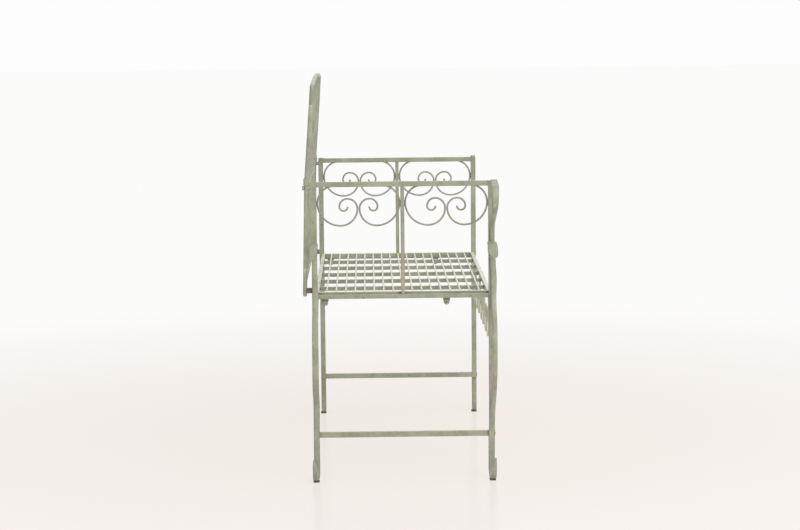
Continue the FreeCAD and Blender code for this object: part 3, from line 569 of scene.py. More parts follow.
PAINTS = {
    # Paler rods with cream upper halves: partly chalk, partly painted top light
    Wear.CREAM: AgedPaint(
        "chalked_sage_enamel_on_rods", deep="#B7B5A4", pale="#D0CEBE", top_chalk_and_shading="#F1ECDF", top_chalk_and_shading_share=0.95,
        top_chalk_and_shading_from=0.3),
    # Very pale tops, partly chalk and partly painted top light, and deeper painted shade where the cross bars
    # meet the rails
    Wear.SEAT_BARS: AgedPaint(
        "rubbed_sage_enamel_on_seat_bars", top_chalk_and_shading="#E9E2D6", top_chalk_and_shading_share=0.95, corner_shade="#40392C", corner_mm=18.0),
    Wear.BACK_ENDS: AgedPaint(
        "rubbed_sage_enamel_on_back_posts", undercoat="#C2AFA3", fleck_share=0.75, band_mm=(868.0, 900.0),
        streaks=Patches(7.0, 3.0, (0.2, 0.6), 0.15)),
    Wear.FRONT_EDGES: AgedPaint("rubbed_sage_enamel_on_posts", band_mm=(140.0, 520.0), corner_mm=3.5),
    # Darker greens than the other paints, for the brackets and for the painted shade of the weld beads at the
    # cross bars' ends
    Wear.SHELTERED: AgedPaint(
        "dark_sage_enamel_on_brackets", deep="#55503E", pale="#787360", top_chalk_and_shading_share=0.1),
    Wear.HANDLED: AgedPaint(
        "handled_sage_enamel_on_arms", top_chalk_and_shading="#AE998B", top_chalk_and_shading_share=0.9, top_chalk_and_shading_from=0.2),
    # Straps: a darker tone on faces that look up and thin dark edges, both painted shade
    Wear.FORGED: AgedPaint(
        "aged_sage_enamel_on_straps", top_chalk_and_shading="#868A75", top_chalk_and_shading_share=0.7, top_chalk_and_shading_from=0.2, fleck_share=0.4,
        strap_edge_shade_share=0.65),
    Wear.EVEN: AgedPaint(),
}
WIRE_PAINT = AgedPaint("aged_sage_enamel_on_wire", deep="#8F8C82", pale="#A4A097", top_chalk_and_shading_share=0.2)
# A paler copy of the wire paint, with paler tops: painted light that makes up for the shade under the seat
APRON_PAINT = AgedPaint(
    "chalked_sage_enamel_on_apron", deep="#A5A88F", pale="#C2C3AD", top_chalk_and_shading="#DDD9CA", top_chalk_and_shading_share=0.6,
    top_chalk_and_shading_from=0.3, fleck_share=0.5)


@dataclass(frozen=True)
class Finishes:
    """The finished materials of the bench."""

    paints: dict[Wear, bpy.types.Material] = field(
        default_factory=lambda: {wear: paint.material() for wear, paint in PAINTS.items()})
    wire: bpy.types.Material = field(default_factory=WIRE_PAINT.material)
    apron: bpy.types.Material = field(default_factory=APRON_PAINT.material)
    bolt: bpy.types.Material = field(default_factory=ZincSteel().material)
    glide: bpy.types.Material = field(default_factory=GlidePlastic().material)

    def of(self, name: str, slot: str) -> bpy.types.Material:
        """The material of a CAD node, from its name and its slot in the record."""
        plain = {Slot.BOLT.value: self.bolt, Slot.GLIDE.value: self.glide}
        return plain[slot] if slot in plain else self.paints[Wear.of(name)]


def link_object(name: str, mesh: bpy.types.Mesh) -> bpy.types.Object:
    """Puts a mesh in the scene at the origin.

    Args:
        name: The object's name.
        mesh: Its mesh.

    Returns:
        The object.
    """
    piece = bpy.data.objects.new(name, mesh)
    bpy.context.scene.collection.objects.link(piece)
    return piece


def new_tree(name: str, sizes: dict[str, str]) -> tuple[bpy.types.NodeTree, bpy.types.Node, bpy.types.Node]:
    """Starts a Geometry Nodes tree with named inputs.

    Args:
        name: The tree's name.
        sizes: The inputs after the geometry, as socket types by name.

    Returns:
        The tree, its input node and its output node.
    """
    tree = bpy.data.node_groups.new(name, "GeometryNodeTree")
    tree.interface.new_socket("Geometry", in_out="INPUT", socket_type="NodeSocketGeometry")
    for label, kind in sizes.items():
        tree.interface.new_socket(label, in_out="INPUT", socket_type=kind)
    tree.interface.new_socket("Geometry", in_out="OUTPUT", socket_type="NodeSocketGeometry")
    return tree, add_node(tree, "NodeGroupInput"), add_node(tree, "NodeGroupOutput")


def finish_tree(tree: bpy.types.NodeTree, geometry: bpy.types.NodeSocket, start: bpy.types.Node,
                end: bpy.types.Node) -> bpy.types.NodeTree:
    """Ends a tree with real geometry, smooth faces and its material.

    Args:
        tree: The tree.
        geometry: What it has made.
        start: Its input node, which has a Finish input.
        end: Its output node.

    Returns:
        The tree.
    """
    real = add_node(tree, "GeometryNodeRealizeInstances", {0: geometry}).outputs[0]
    smooth = add_node(tree, "GeometryNodeSetShadeSmooth", {"Geometry": real}).outputs["Geometry"]
    dressed = add_node(tree, "GeometryNodeSetMaterial", {
        "Geometry": smooth, "Material": start.outputs["Finish"]})
    tree.links.new(dressed.outputs["Geometry"], end.inputs["Geometry"])
    return tree


def run_tree(name: str, source: bpy.types.Mesh, tree: bpy.types.NodeTree,
             values: dict[str, Any]) -> bpy.types.Object:
    """Runs a tree on a mesh and keeps the result as a plain piece.

    Args:
        name: The piece's name.
        source: The mesh that the tree starts from.
        tree: The Geometry Nodes tree.
        values: Its inputs by name.

    Returns:
        The piece, which rides on the bench.
    """
    carrier = link_object(name + "_source", source)
    modifier = carrier.modifiers.new("shape", "NODES")
    modifier.node_group = tree
    for item in tree.interface.items_tree:
        if item.name in values and item.in_out == "INPUT":
            modifier[item.identifier] = values[item.name]
    carrier.update_tag()
    evaluated = carrier.evaluated_get(bpy.context.evaluated_depsgraph_get())
    mesh = bpy.data.meshes.new_from_object(evaluated)
    carrier.modifiers.clear()
    bpy.data.objects.remove(carrier)
    piece = link_object(name, mesh)
    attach(piece, BODY)
    LOG.info("%s: %d faces", name, len(mesh.polygons))
    return piece


@dataclass
class IronBars:
    """The CAD bars, straps and plates, dressed where they stand."""

    finishes: Finishes
    edge_mm: float = 1.1
    bolt_edge_mm: float = 2.8
    glide_edge_mm: float = 1.6
    round_steps: int = 4
    bar_steps: int = 2
    weld_mm: float = 0.01
    sharp_degrees: float = 35.0
    round_words: tuple[str, ...] = ("rods", "bars", "arch", "sleeves", "spacers", "back_post")

    def dress(self, nodes: dict[str, bpy.types.Object], slots: dict[str, str]) -> None:
        """Gives every CAD node its finish and its edges.

        Args:
            nodes: The CAD nodes by name.
            slots: The record's slot of each node.
        """
        for name, node in nodes.items():
            node.data.materials.clear()
            node.data.materials.append(self.finishes.of(name, slots[name]))
            if name.endswith("_bolts"):
                self.soften(node, self.bolt_edge_mm, self.round_steps)
            elif slots[name] == Slot.GLIDE.value:
                self.soften(node, self.glide_edge_mm, self.round_steps)
            elif self.section(name) is Section.SQUARE:
                self.soften(node, self.edge_mm, self.bar_steps)
            LOG.info("%s dressed", name)

    def section(self, name: str) -> Section:
        """How a node is finished, from its name."""
        return Section.ROUND if any(word in name for word in self.round_words) else Section.SQUARE

    def soften(self, node: bpy.types.Object, edge_mm: float, steps: int) -> None:
        """Rounds the edges of a square bar, a bolt's head or a glide.

        Args:
            node: The CAD node.
            edge_mm: How much of each edge is rounded.
            steps: How many faces make the rounding.
        """
        weld = node.modifiers.new("weld", "WELD")
        weld.merge_threshold = self.weld_mm * MM
        bevel = node.modifiers.new("edges", "BEVEL")
        bevel.width = edge_mm * MM
        bevel.segments = steps
        bevel.limit_method = "ANGLE"
        bevel.angle_limit = math.radians(self.sharp_degrees)
        bevel.harden_normals = True


def round_wire_tree() -> bpy.types.NodeTree:
    """A tree that turns a line into round wire.

    Returns:
        The tree.
    """
    tree, start, end = new_tree("round_wire", {
        "Wire Radius": "NodeSocketFloat", "Sides": "NodeSocketInt", "Finish": "NodeSocketMaterial"})
    line = add_node(tree, "GeometryNodeMeshToCurve", {"Mesh": start.outputs["Geometry"]}).outputs["Curve"]
    ring = add_node(tree, "GeometryNodeCurvePrimitiveCircle", {
        "Resolution": start.outputs["Sides"], "Radius": start.outputs["Wire Radius"]}).outputs["Curve"]
    wire = add_node(tree, "GeometryNodeCurveToMesh", {
        "Curve": line, "Profile Curve": ring, "Fill Caps": True}).outputs["Mesh"]
    return finish_tree(tree, wire, start, end)


def line_mesh(name: str, spots: list[Vector], cut: int | None = None) -> bpy.types.Mesh:
    """A line of joined edges.

    Args:
        name: The CAD node that the line is for.
        spots: Its points in order.
        cut: The number of the point after which the line is cut in two, if it is.

    Returns:
        The mesh.
    """
    mesh = bpy.data.meshes.new(name + "_line")
    mesh.from_pydata(spots, [(i, i + 1) for i in range(len(spots) - 1) if i != cut], [])
    return mesh


@dataclass
class BackArch:
    """The round tube that crowns the back, with the tight corners of a hand bender."""

    finishes: Finishes
    tube_mm: float = 10.0
    corner_mm: float = 7.0
    crown_radius_m: float = 5.5
    bend_end_m: float = 0.215
    corner_steps: int = 10
    crown_steps: int = 40
    tube_sides: int = 24

    def build(self, tree: bpy.types.NodeTree) -> None:
        """Makes the tube in the place of its CAD node.

        Args:
            tree: The tree that turns a line into round wire.
        """
        low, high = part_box("back_arch")
        tube = self.tube_mm * MM
        lean = math.atan2(high.y - low.y - tube, high.z - low.z)
        line = self.line((high.x - low.x - tube) / 2, (high.z - low.z - tube / 2) / math.cos(lean))
        foot = Vector(((low.x + high.x) / 2, high.y - tube / 2, low.z))
        up = Vector((0.0, -math.sin(lean), math.cos(lean)))
        mesh = line_mesh("back_arch", [foot + Vector((u, 0.0, 0.0)) + up * v for u, v in line])
        piece = run_tree("back_arch_tube", mesh, tree, {
            "Wire Radius": tube / 2, "Sides": self.tube_sides, "Finish": self.finishes.paints[Wear.EVEN]})
        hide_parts("back_arch")

    def line(self, half_width: float, crown: float) -> list[tuple[float, float]]:
        """The middle of the tube in its own plane: legs, corners, straight shoulders and a flat crown.

        Args:
            half_width: From the middle of the back to the middle of a leg.
            crown: The height of the crown above the feet.

        Returns:
            Points across and up, from the right foot to the left one.
        """
        corner, big = self.corner_mm * MM, self.crown_radius_m
        slope = math.asin(self.bend_end_m / big)
        bend_up = crown - big * (1 - math.cos(slope))
        shoulder = (half_width - corner * (1 - math.sin(slope)) - self.bend_end_m) / math.cos(slope)
        corner_up = bend_up - shoulder * math.sin(slope) - corner * math.cos(slope)
        half = [(half_width, 0.0), (half_width, corner_up)]
        for step in range(1, self.corner_steps + 1):
            angle = (math.pi / 2 - slope) * step / self.corner_steps
            across = half_width - corner + corner * math.cos(angle)
            half.append((across, corner_up + corner * math.sin(angle)))
        for step in range(self.crown_steps):
            angle = slope * (1 - step / self.crown_steps)
            half.append((big * math.sin(angle), crown - big + big * math.cos(angle)))
        return half + [(0.0, crown)] + [(-u, v) for u, v in reversed(half)]


class ScrollKind(Enum):
    """Where a scroll sits, with the word that its name starts with."""

    ARM = "arm"
    APRON = "apron"
    BACK = "back"

    @classmethod
    def of(cls, name: str) -> "ScrollKind":
        """The kind of a scroll, from its name."""
        return next(kind for kind in cls if name.startswith(kind.value))


@dataclass(frozen=True)
class ScrollBay:
    """Where the middle of a scroll's wire lies.

    The origin is the middle of its straight run, and down is the way in which the lobes leave the run.
    """

    origin: Vector
    across: Vector
    down: Vector
    half_width: float
    drop: float


@dataclass
class ScrollWork:
    """Round wire scrolls that stand for the square ones of the frame."""

    finishes: Finishes
    wire_mm: float = 4.5
    twin_gap_mm: float = 0.6
    corner_share: float = 0.43
    curl_share: float = 0.25
    inner_curl_share: float = 0.2
    eye_share: float = 0.105
    arm_sink_mm: float = 2.8
    step_mm: float = 2.5
    least_steps: int = 6
    wire_sides: int = 14

    def build(self, nodes: dict[str, bpy.types.Object], tree: bpy.types.NodeTree) -> None:
        """Makes every scroll of the bench.

        Args:
            nodes: The CAD nodes by name.
            tree: The tree that turns a line into round wire.
        """
        for name in sorted(node for node in nodes if "_scroll_" in node):
            kind = ScrollKind.of(name)
            # The apron's scrolls take the paler paint, which is painted light against the shade under the
            # seat
            piece = run_tree(name + "_wire", self.path_mesh(name, kind), tree, {
                "Wire Radius": self.wire_mm * MM / 2, "Sides": self.wire_sides,
                "Finish": self.finishes.apron if kind is ScrollKind.APRON else self.finishes.wire})
            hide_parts(name)

    def bay(self, name: str, kind: ScrollKind) -> ScrollBay:
        """Where a scroll lies, from the CAD node that it stands for.

        Args:
            name: The CAD node.
            kind: Where the scroll sits.

        Returns:
            The place of the scroll's wire.
        """
        low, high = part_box(name)
        wire = self.wire_mm * MM
        middle = (low + high) / 2
        if kind is ScrollKind.ARM:
            across, wide = Vector((0, 1, 0)), high.y - low.y
        else:
            across, wide = Vector((1, 0, 0)), high.x - low.x
        half_width = (wide - wire) / 2
        if kind is ScrollKind.BACK:
            lean = math.atan2(high.y - low.y - wire, high.z - low.z - wire)
            up = Vector((0, -math.sin(lean), math.cos(lean)))
            origin = Vector((middle.x, high.y - wire / 2, low.z + wire / 2))
            return ScrollBay(origin, across, up, half_width, (high.z - low.z - wire) / math.cos(lean))
        top = high.z + (self.arm_sink_mm * MM if kind is ScrollKind.ARM else -wire / 2)
        origin = Vector((middle.x, middle.y, top))
        return ScrollBay(origin, across, Vector((0, 0, -1)), half_width, top - low.z - wire / 2)

    def path_mesh(self, name: str, kind: ScrollKind) -> bpy.types.Mesh:
        """The line along the middle of one scroll's wire, which is two halves where it runs into the arm.

        Args:
            name: The CAD node it stands for.
            kind: Where the scroll sits.

        Returns:
            A mesh of joined edges.
        """
        bay = self.bay(name, kind)
        corner = self.corner_share * bay.drop
        lobe = bay.drop - corner
        inner = (self.wire_mm + self.twin_gap_mm) * MM / 2
        rise = bay.half_width - lobe - inner
        turns = [(corner, 90), (lobe, 90), (rise, 90), (self.curl_share * bay.drop, 90),
                 (self.inner_curl_share * bay.drop, 90), (self.eye_share * bay.drop, 180)]
        half = [(bay.half_width - corner, 0.0)]
        heading = 0.0
        for radius, degrees in turns:
            half += self.bend(half[-1], heading, radius, degrees)
            heading += math.radians(degrees)
        line = [(-u, v) for u, v in reversed(half)] + half
        spots = [bay.origin + bay.across * u + bay.down * v for u, v in line]
        return line_mesh(name, spots, len(half) - 1 if kind is ScrollKind.ARM else None)

    def bend(self, start: tuple[float, float], heading: float, radius: float,
             degrees: float) -> list[tuple[float, float]]:
        """Points along one bend, which turns from across towards down.

        Args:
            start: Where it starts.
            heading: Its direction there, in radians.
            radius: Its radius.
            degrees: How far it turns.

        Returns:
            The points after the start.
        """
        turn = math.radians(degrees)
        count = max(self.least_steps, round(radius * turn / (self.step_mm * MM)))
        centre_u = start[0] - radius * math.sin(heading)
        centre_v = start[1] + radius * math.cos(heading)
        angles = [heading + turn * step / count for step in range(1, count + 1)]
        return [(centre_u + radius * math.sin(a), centre_v - radius * math.cos(a)) for a in angles]


@dataclass(frozen=True)
class Girth:
    """The size of a strap at one place along its path, in millimetres.

    The place counts the steps of the path, so 2.5 is halfway along its third step.
    """

    along: float
    width: float
    aside: float = 0.0
    thickness: float = 6.0


@dataclass(frozen=True)
class StrapPath:
    """A strap's middle line in its own upright plane, in millimetres outwards and up.

    Each step is (length,) for a straight run or (radius, degrees) for a bend, left turns positive.
    """

    start: tuple[float, float]
    heading: float
    steps: list[tuple[float, ...]]
    step_mm: float = 3.0
    least_parts: int = 3

    def spots(self) -> list[tuple[float, Vector, Vector]]:
        """Places along the line.

        Returns:
            How far along each place is, the place itself, and the direction to its left.
        """
        here = Vector(self.start)
        angle = math.radians(self.heading)
        spots = [(0.0, here.copy(), Vector((-math.sin(angle), math.cos(angle))))]
        for number, step in enumerate(self.steps):
            turn = math.radians(step[1]) if len(step) == 2 else 0.0
            length = step[0] * abs(turn) if turn else step[0]
            count = max(self.least_parts, round(length / self.step_mm))
            bend = turn / count
            chord = 2 * step[0] * math.sin(abs(bend) / 2) if turn else length / count
            for part in range(1, count + 1):
                middle = angle + bend / 2
                here += chord * Vector((math.cos(middle), math.sin(middle)))
                angle += bend
                left = Vector((-math.sin(angle), math.cos(angle)))
                spots.append((number + part / count, here.copy(), left))
        return spots


def bow(rise: float, reach: float) -> list[tuple[float, float]]:
    """Two equal bends that carry a strap outwards and leave it upright again, going down.

    Args:
        rise: The height over which it does so.
        reach: How far it is carried.

    Returns:
        The radius and the degrees of each bend.
    """
    degrees = 2 * math.degrees(math.atan(reach / rise))
    radius = rise / (2 * math.sin(math.radians(abs(degrees))))
    return [(radius, degrees), (radius, -degrees)]


def girth_at(girths: tuple[Girth, ...], along: float) -> tuple[float, float, float]:
    """The size of a strap between the places where it is given.

    Args:
        girths: The sizes in order along the strap.
        along: The place, counted in steps of the path.

    Returns:
        The width, how far the strap lies aside of its path, and the thickness.
    """
    after = next((i for i, girth in enumerate(girths) if girth.along >= along), len(girths) - 1)
    low, high = girths[max(after - 1, 0)], girths[after]
    share = (along - low.along) / max(high.along - low.along, LEAST_SPAN)
    ease = share * share * (3 - 2 * share)
    pairs = ((low.width, high.width), (low.aside, high.aside), (low.thickness, high.thickness))
    return tuple(first + (second - first) * ease for first, second in pairs)


@dataclass
class StrapWork:
    """Forged legs and rolled arm ends, whose rounded section swells and thins as a smith leaves it.

    Sizes are in millimetres, angles in degrees, and heights are above the floor.
    """

    finishes: Finishes
    thickness: float = 6.0
    strap_out: float = 8.0
    front_setback: float = 1.5
    knob_top: float = 567.0
    knob_radius: float = 20.0
    knob_tip: float = 534.0
    bow_top: float = 475.0
    bow_height: float = 300.0
    bow_bottom: float = 115.0
    bow_reach: float = 60.0
    splay: float = 4.0
    ground: float = 5.0
    curl_radius: float = 20.0
    foot_tip: float = 57.0
    roll_forward: float = 4.0
    roll_start: tuple[float, float] = (-5.0, 715.0)
    roll_reach: float = 130.0
    roll_fall_radius: float = 60.0
    roll_shoulder_radius: float = 26.0
    roll_belly_radius: float = 28.0
    roll_neck_radius: float = 36.0
    roll_fall: float = 6.0
    roll_return: float = 67.0
    roll_foot: float = 563.0
    straight_width: float = 13.0
    straight_splays: tuple[float, float, float] = (0.048, 0.022, 0.047)
    sides: int = 24
    roundness: float = 3.4
    front_girths: tuple[Girth, ...] = (
        Girth(0.0, 11, 4.6, 3), Girth(0.2, 17, 4.2, 5), Girth(0.6, 21.5, 2.4), Girth(1.0, 24.5, 0.8),
        Girth(1.5, 22, 0.4), Girth(1.85, 17, 1.5), Girth(2.0, 14, 2.5), Girth(2.4, 13.5, 5.5),
        Girth(3.0, 13.5, 7.5), Girth(3.6, 12.5, 5.8), Girth(5.0, 10.5, 3.7), Girth(6.0, 10.5, 4.0),
        Girth(6.6, 13, 1.8), Girth(7.2, 15, 0.3), Girth(8.0, 15), Girth(9.0, 14, 0.3), Girth(10.0, 12, 1.5),
        Girth(10.5, 9, 3.0, 5), Girth(10.85, 5.5, 4.6, 4), Girth(11.0, 2.5, 5.2, 2))
    rear_girths: tuple[Girth, ...] = (
        Girth(0.0, 9, 3.6, 3), Girth(0.2, 14, 3.2, 5), Girth(0.6, 19, 1.8), Girth(1.0, 22),
        Girth(1.5, 20, -0.5), Girth(1.85, 16), Girth(2.0, 13), Girth(2.5, 12.5), Girth(3.0, 13, -0.5),
        Girth(3.5, 14.5, -1.8), Girth(5.0, 15, -4.0), Girth(6.0, 15, -2.2), Girth(7.0, 14.5),
        Girth(8.0, 14.5), Girth(9.0, 13.5, 0.3), Girth(10.0, 12, 1.0), Girth(10.5, 9.5, 2.2, 5),
        Girth(10.85, 5.5, 3.6, 4), Girth(11.0, 2.5, 4.0, 2))
    roll_girths: tuple[Girth, ...] = (
        Girth(0.0, 6, 0, 1.5), Girth(0.5, 9, 0.5, 2.5), Girth(1.5, 13, 2.0, 3), Girth(2.2, 16, 2.6, 4),
        Girth(2.7, 17, 1.8, 4.5), Girth(3.0, 16.8, 1.2, 5), Girth(3.6, 16, 0.4), Girth(4.0, 15.5),
        Girth(5.0, 14, -0.8), Girth(5.8, 12.5, -1.2), Girth(6.5, 11.5, -1.4), Girth(8.0, 11, -1.4, 5))

    def build(self) -> None:
        """Makes the straps in the place of their CAD nodes."""
        tree = self.strap_tree()
        leg, roll = self.leg_path(), self.roll_path()
        for side in Side:
            end = side.name.lower()
            front, rear = (self.post_middle(f"{post}_post_{end}") for post in ("front", "rear"))
            feet = (front + Vector((0, self.front_setback * MM, 0)), rear,
                    front - Vector((0, self.roll_forward * MM, 0)))
            girths = (self.front_girths, self.rear_girths, self.roll_girths)
            splays = (self.splay / self.bow_reach, self.splay / self.bow_reach, 0.0)
            if side is Side.RIGHT:
                feet = (front, rear, front)
                girths = tuple(self.straightened(kind) for kind in girths)
                splays = self.straight_splays
            straps = (("front_leg", leg, -1), ("rear_leg", leg, 1), ("arm_roll", roll, -1))
            for (kind, path, aside), girth, foot, splay in zip(straps, girths, feet, splays):
                self.forge(f"{kind}_{end}", tree, path, girth, foot, (side.value, aside, splay))

    def straightened(self, girths: tuple[Girth, ...]) -> tuple[Girth, ...]:
        """Sizes for the right-hand straps, of which the photo shows nothing beside their posts."""
        return tuple(Girth(girth.along, min(girth.width, self.straight_width), 0.0, girth.thickness)
                     for girth in girths)

    def post_middle(self, name: str) -> Vector:
        """The middle of a post, on the floor."""
        low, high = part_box(name)
        return Vector(((low.x + high.x) / 2, (low.y + high.y) / 2, 0.0))

    def leg_path(self) -> StrapPath:
        """A leg's line, from the tip of its knob over the curl, down the bow and round the foot.

        Returns:
            The path.
        """
        root = self.knob_top - self.knob_radius
        reach = self.bow_reach - self.strap_out
        steps = [(root - self.knob_tip,), (self.knob_radius, 180.0), (root - self.bow_top,)]
        steps += bow(self.bow_top - self.bow_height, reach) + bow(self.bow_height - self.bow_bottom, -reach)
        steps += [(self.bow_bottom - self.ground - self.curl_radius,), (self.curl_radius, 90.0)]
        steps += [(self.curl_radius, 90.0), (self.foot_tip - self.ground - self.curl_radius,)]
        return StrapPath((self.strap_out + 2 * self.knob_radius, self.knob_tip), 90.0, steps)

    def roll_path(self) -> StrapPath:
        """A rolled arm end's line, from the top of the post outwards and back to it above the knob.

        Returns:
            The path.
        """
        reach = self.roll_reach - self.strap_out
        easing, shoulder = self.roll_fall_radius, self.roll_shoulder_radius
        turn_back = self.roll_belly_radius + self.roll_neck_radius
        fall, turn = math.radians(self.roll_fall), math.radians(self.roll_return)
        run = (reach - easing * math.sin(fall) - shoulder * (1 - math.sin(fall))) / math.cos(fall)
        slant = (reach - turn_back * (1 - math.cos(turn))) / math.sin(turn)
        lost = easing * (1 - math.cos(fall)) + run * math.sin(fall) + shoulder * math.cos(fall)
        nose = self.roll_start[1] - lost
        tail = nose - turn_back * math.sin(turn) - slant * math.cos(turn) - self.roll_foot
        steps = [(self.strap_out - self.roll_start[0],), (easing, -self.roll_fall), (run,)]
        steps += [(shoulder, self.roll_fall - 90.0), (self.roll_belly_radius, -self.roll_return), (slant,)]
        steps += [(self.roll_neck_radius, self.roll_return), (tail,)]
        return StrapPath(self.roll_start, 0.0, steps)

    def forge(self, name: str, tree: bpy.types.NodeTree, path: StrapPath, girths: tuple[Girth, ...],
              foot: Vector, ways: tuple[int, int, float]) -> None:
        """Makes one strap in the place of its CAD node.

        Args:
            name: The CAD node.
            tree: The tree that gives the line its section.
            path: The strap's middle line.
            girths: Its sizes along that line.
            foot: The point on the floor under the frame, in line with the strap where it leaves the post.
            ways: Which way is outwards, which way is aside, and how far aside it is drawn as it goes out.
        """
        outwards, aside_way, splay = ways
        spots, lefts, sizes = [], [], []
        for along, place, left in path.spots():
            width, aside, thick = girth_at(girths, along)
            out, up = place - left * (self.thickness - thick) / 2
            drawn = aside_way * (splay * (out - self.strap_out) + aside)
            spots.append(foot + Vector((outwards * out, drawn, up)) * MM)
            lefts.append(Vector((outwards * left.x, 0.0, left.y)))
            sizes.append(Vector((width, thick, 0.0)) * MM / 2)
        mesh = line_mesh(name, spots)
        for label, vectors in (("left", lefts), ("half_size", sizes)):
            values = mesh.attributes.new(label, "FLOAT_VECTOR", "POINT")
            for item, vector in zip(values.data, vectors):
                item.vector = vector
        piece = run_tree(name + "_strap", mesh, tree, {
            "Sides": self.sides, "Roundness": self.roundness, "Finish": self.finishes.paints[Wear.FORGED]})
        self.face_out(piece.data)
        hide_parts(name)

    def face_out(self, mesh: bpy.types.Mesh) -> None:
        """Turns all faces of a strap outwards.

        Args:
            mesh: The strap's mesh.
        """
        builder = bmesh.new()
        builder.from_mesh(mesh)
        bmesh.ops.recalc_face_normals(builder, faces=builder.faces)
        builder.to_mesh(mesh)
        builder.free()

    def strap_tree(self) -> bpy.types.NodeTree:
        """A tree that gives a line a rounded section with the half sizes that its points carry.

        Returns:
            The tree.
        """
        tree, start, end = new_tree("forged_strap", {
            "Sides": "NodeSocketInt", "Roundness": "NodeSocketFloat", "Finish": "NodeSocketMaterial"})
        here = add_node(tree, "GeometryNodeInputPosition").outputs["Position"]
        line = add_node(tree, "GeometryNodeMeshToCurve", {"Mesh": start.outputs["Geometry"]}).outputs["Curve"]
        ring = add_node(tree, "GeometryNodeCurvePrimitiveCircle", {
            "Resolution": start.outputs["Sides"], "Radius": 1.0}).outputs["Curve"]
        line, ring = (add_node(tree, "GeometryNodeStoreNamedAttribute", {
            "Geometry": curve, "Name": label, "Value": here}, data_type="FLOAT_VECTOR").outputs["Geometry"]
            for curve, label in ((line, "line_place"), (ring, "ring_place")))
        body = add_node(tree, "GeometryNodeCurveToMesh", {
            "Curve": line, "Profile Curve": ring, "Fill Caps": True}).outputs["Mesh"]
        carried = ("line_place", "ring_place", "left", "half_size")
        line_place, ring_place, left, half_size = (add_node(
            tree, "GeometryNodeInputNamedAttribute", {"Name": label},
            data_type="FLOAT_VECTOR").outputs["Attribute"] for label in carried)
        # A superellipse: the ring's two coordinates to the power of two over the roundness, signs kept
        power = add_node(tree, "ShaderNodeMath", {
            0: 2.0, 1: start.outputs["Roundness"]}, operation="DIVIDE").outputs[0]
        signs = add_node(tree, "ShaderNodeVectorMath", {0: ring_place}, operation="SIGN").outputs["Vector"]
        bare = add_node(tree, "ShaderNodeVectorMath", {0: ring_place}, operation="ABSOLUTE").outputs["Vector"]
        powers = add_node(tree, "ShaderNodeCombineXYZ", {"X": power, "Y": power, "Z": 1.0}).outputs["Vector"]
        blunt = add_node(tree, "ShaderNodeVectorMath", {0: bare, 1: powers}, operation="POWER")
        blunt = add_node(tree, "ShaderNodeVectorMath", {
            0: blunt.outputs["Vector"], 1: signs}, operation="MULTIPLY").outputs["Vector"]
        sized = add_node(tree, "ShaderNodeVectorMath", {0: blunt, 1: half_size}, operation="MULTIPLY")
        sized = add_node(tree, "ShaderNodeSeparateXYZ", {"Vector": sized.outputs["Vector"]}).outputs
        across = add_node(tree, "ShaderNodeCombineXYZ", {"Y": sized["X"]}).outputs["Vector"]
        place = add_node(tree, "ShaderNodeVectorMath", {
            0: line_place, 1: across}, operation="ADD").outputs["Vector"]
        place = add_node(tree, "ShaderNodeVectorMath", {
            0: left, 1: sized["Y"], 2: place}, operation="MULTIPLY_ADD").outputs["Vector"]
        body = add_node(tree, "GeometryNodeSetPosition", {"Geometry": body, "Position": place})
        return finish_tree(tree, body.outputs["Geometry"], start, end)


Bead = tuple[Vector, tuple[float, float, float]]


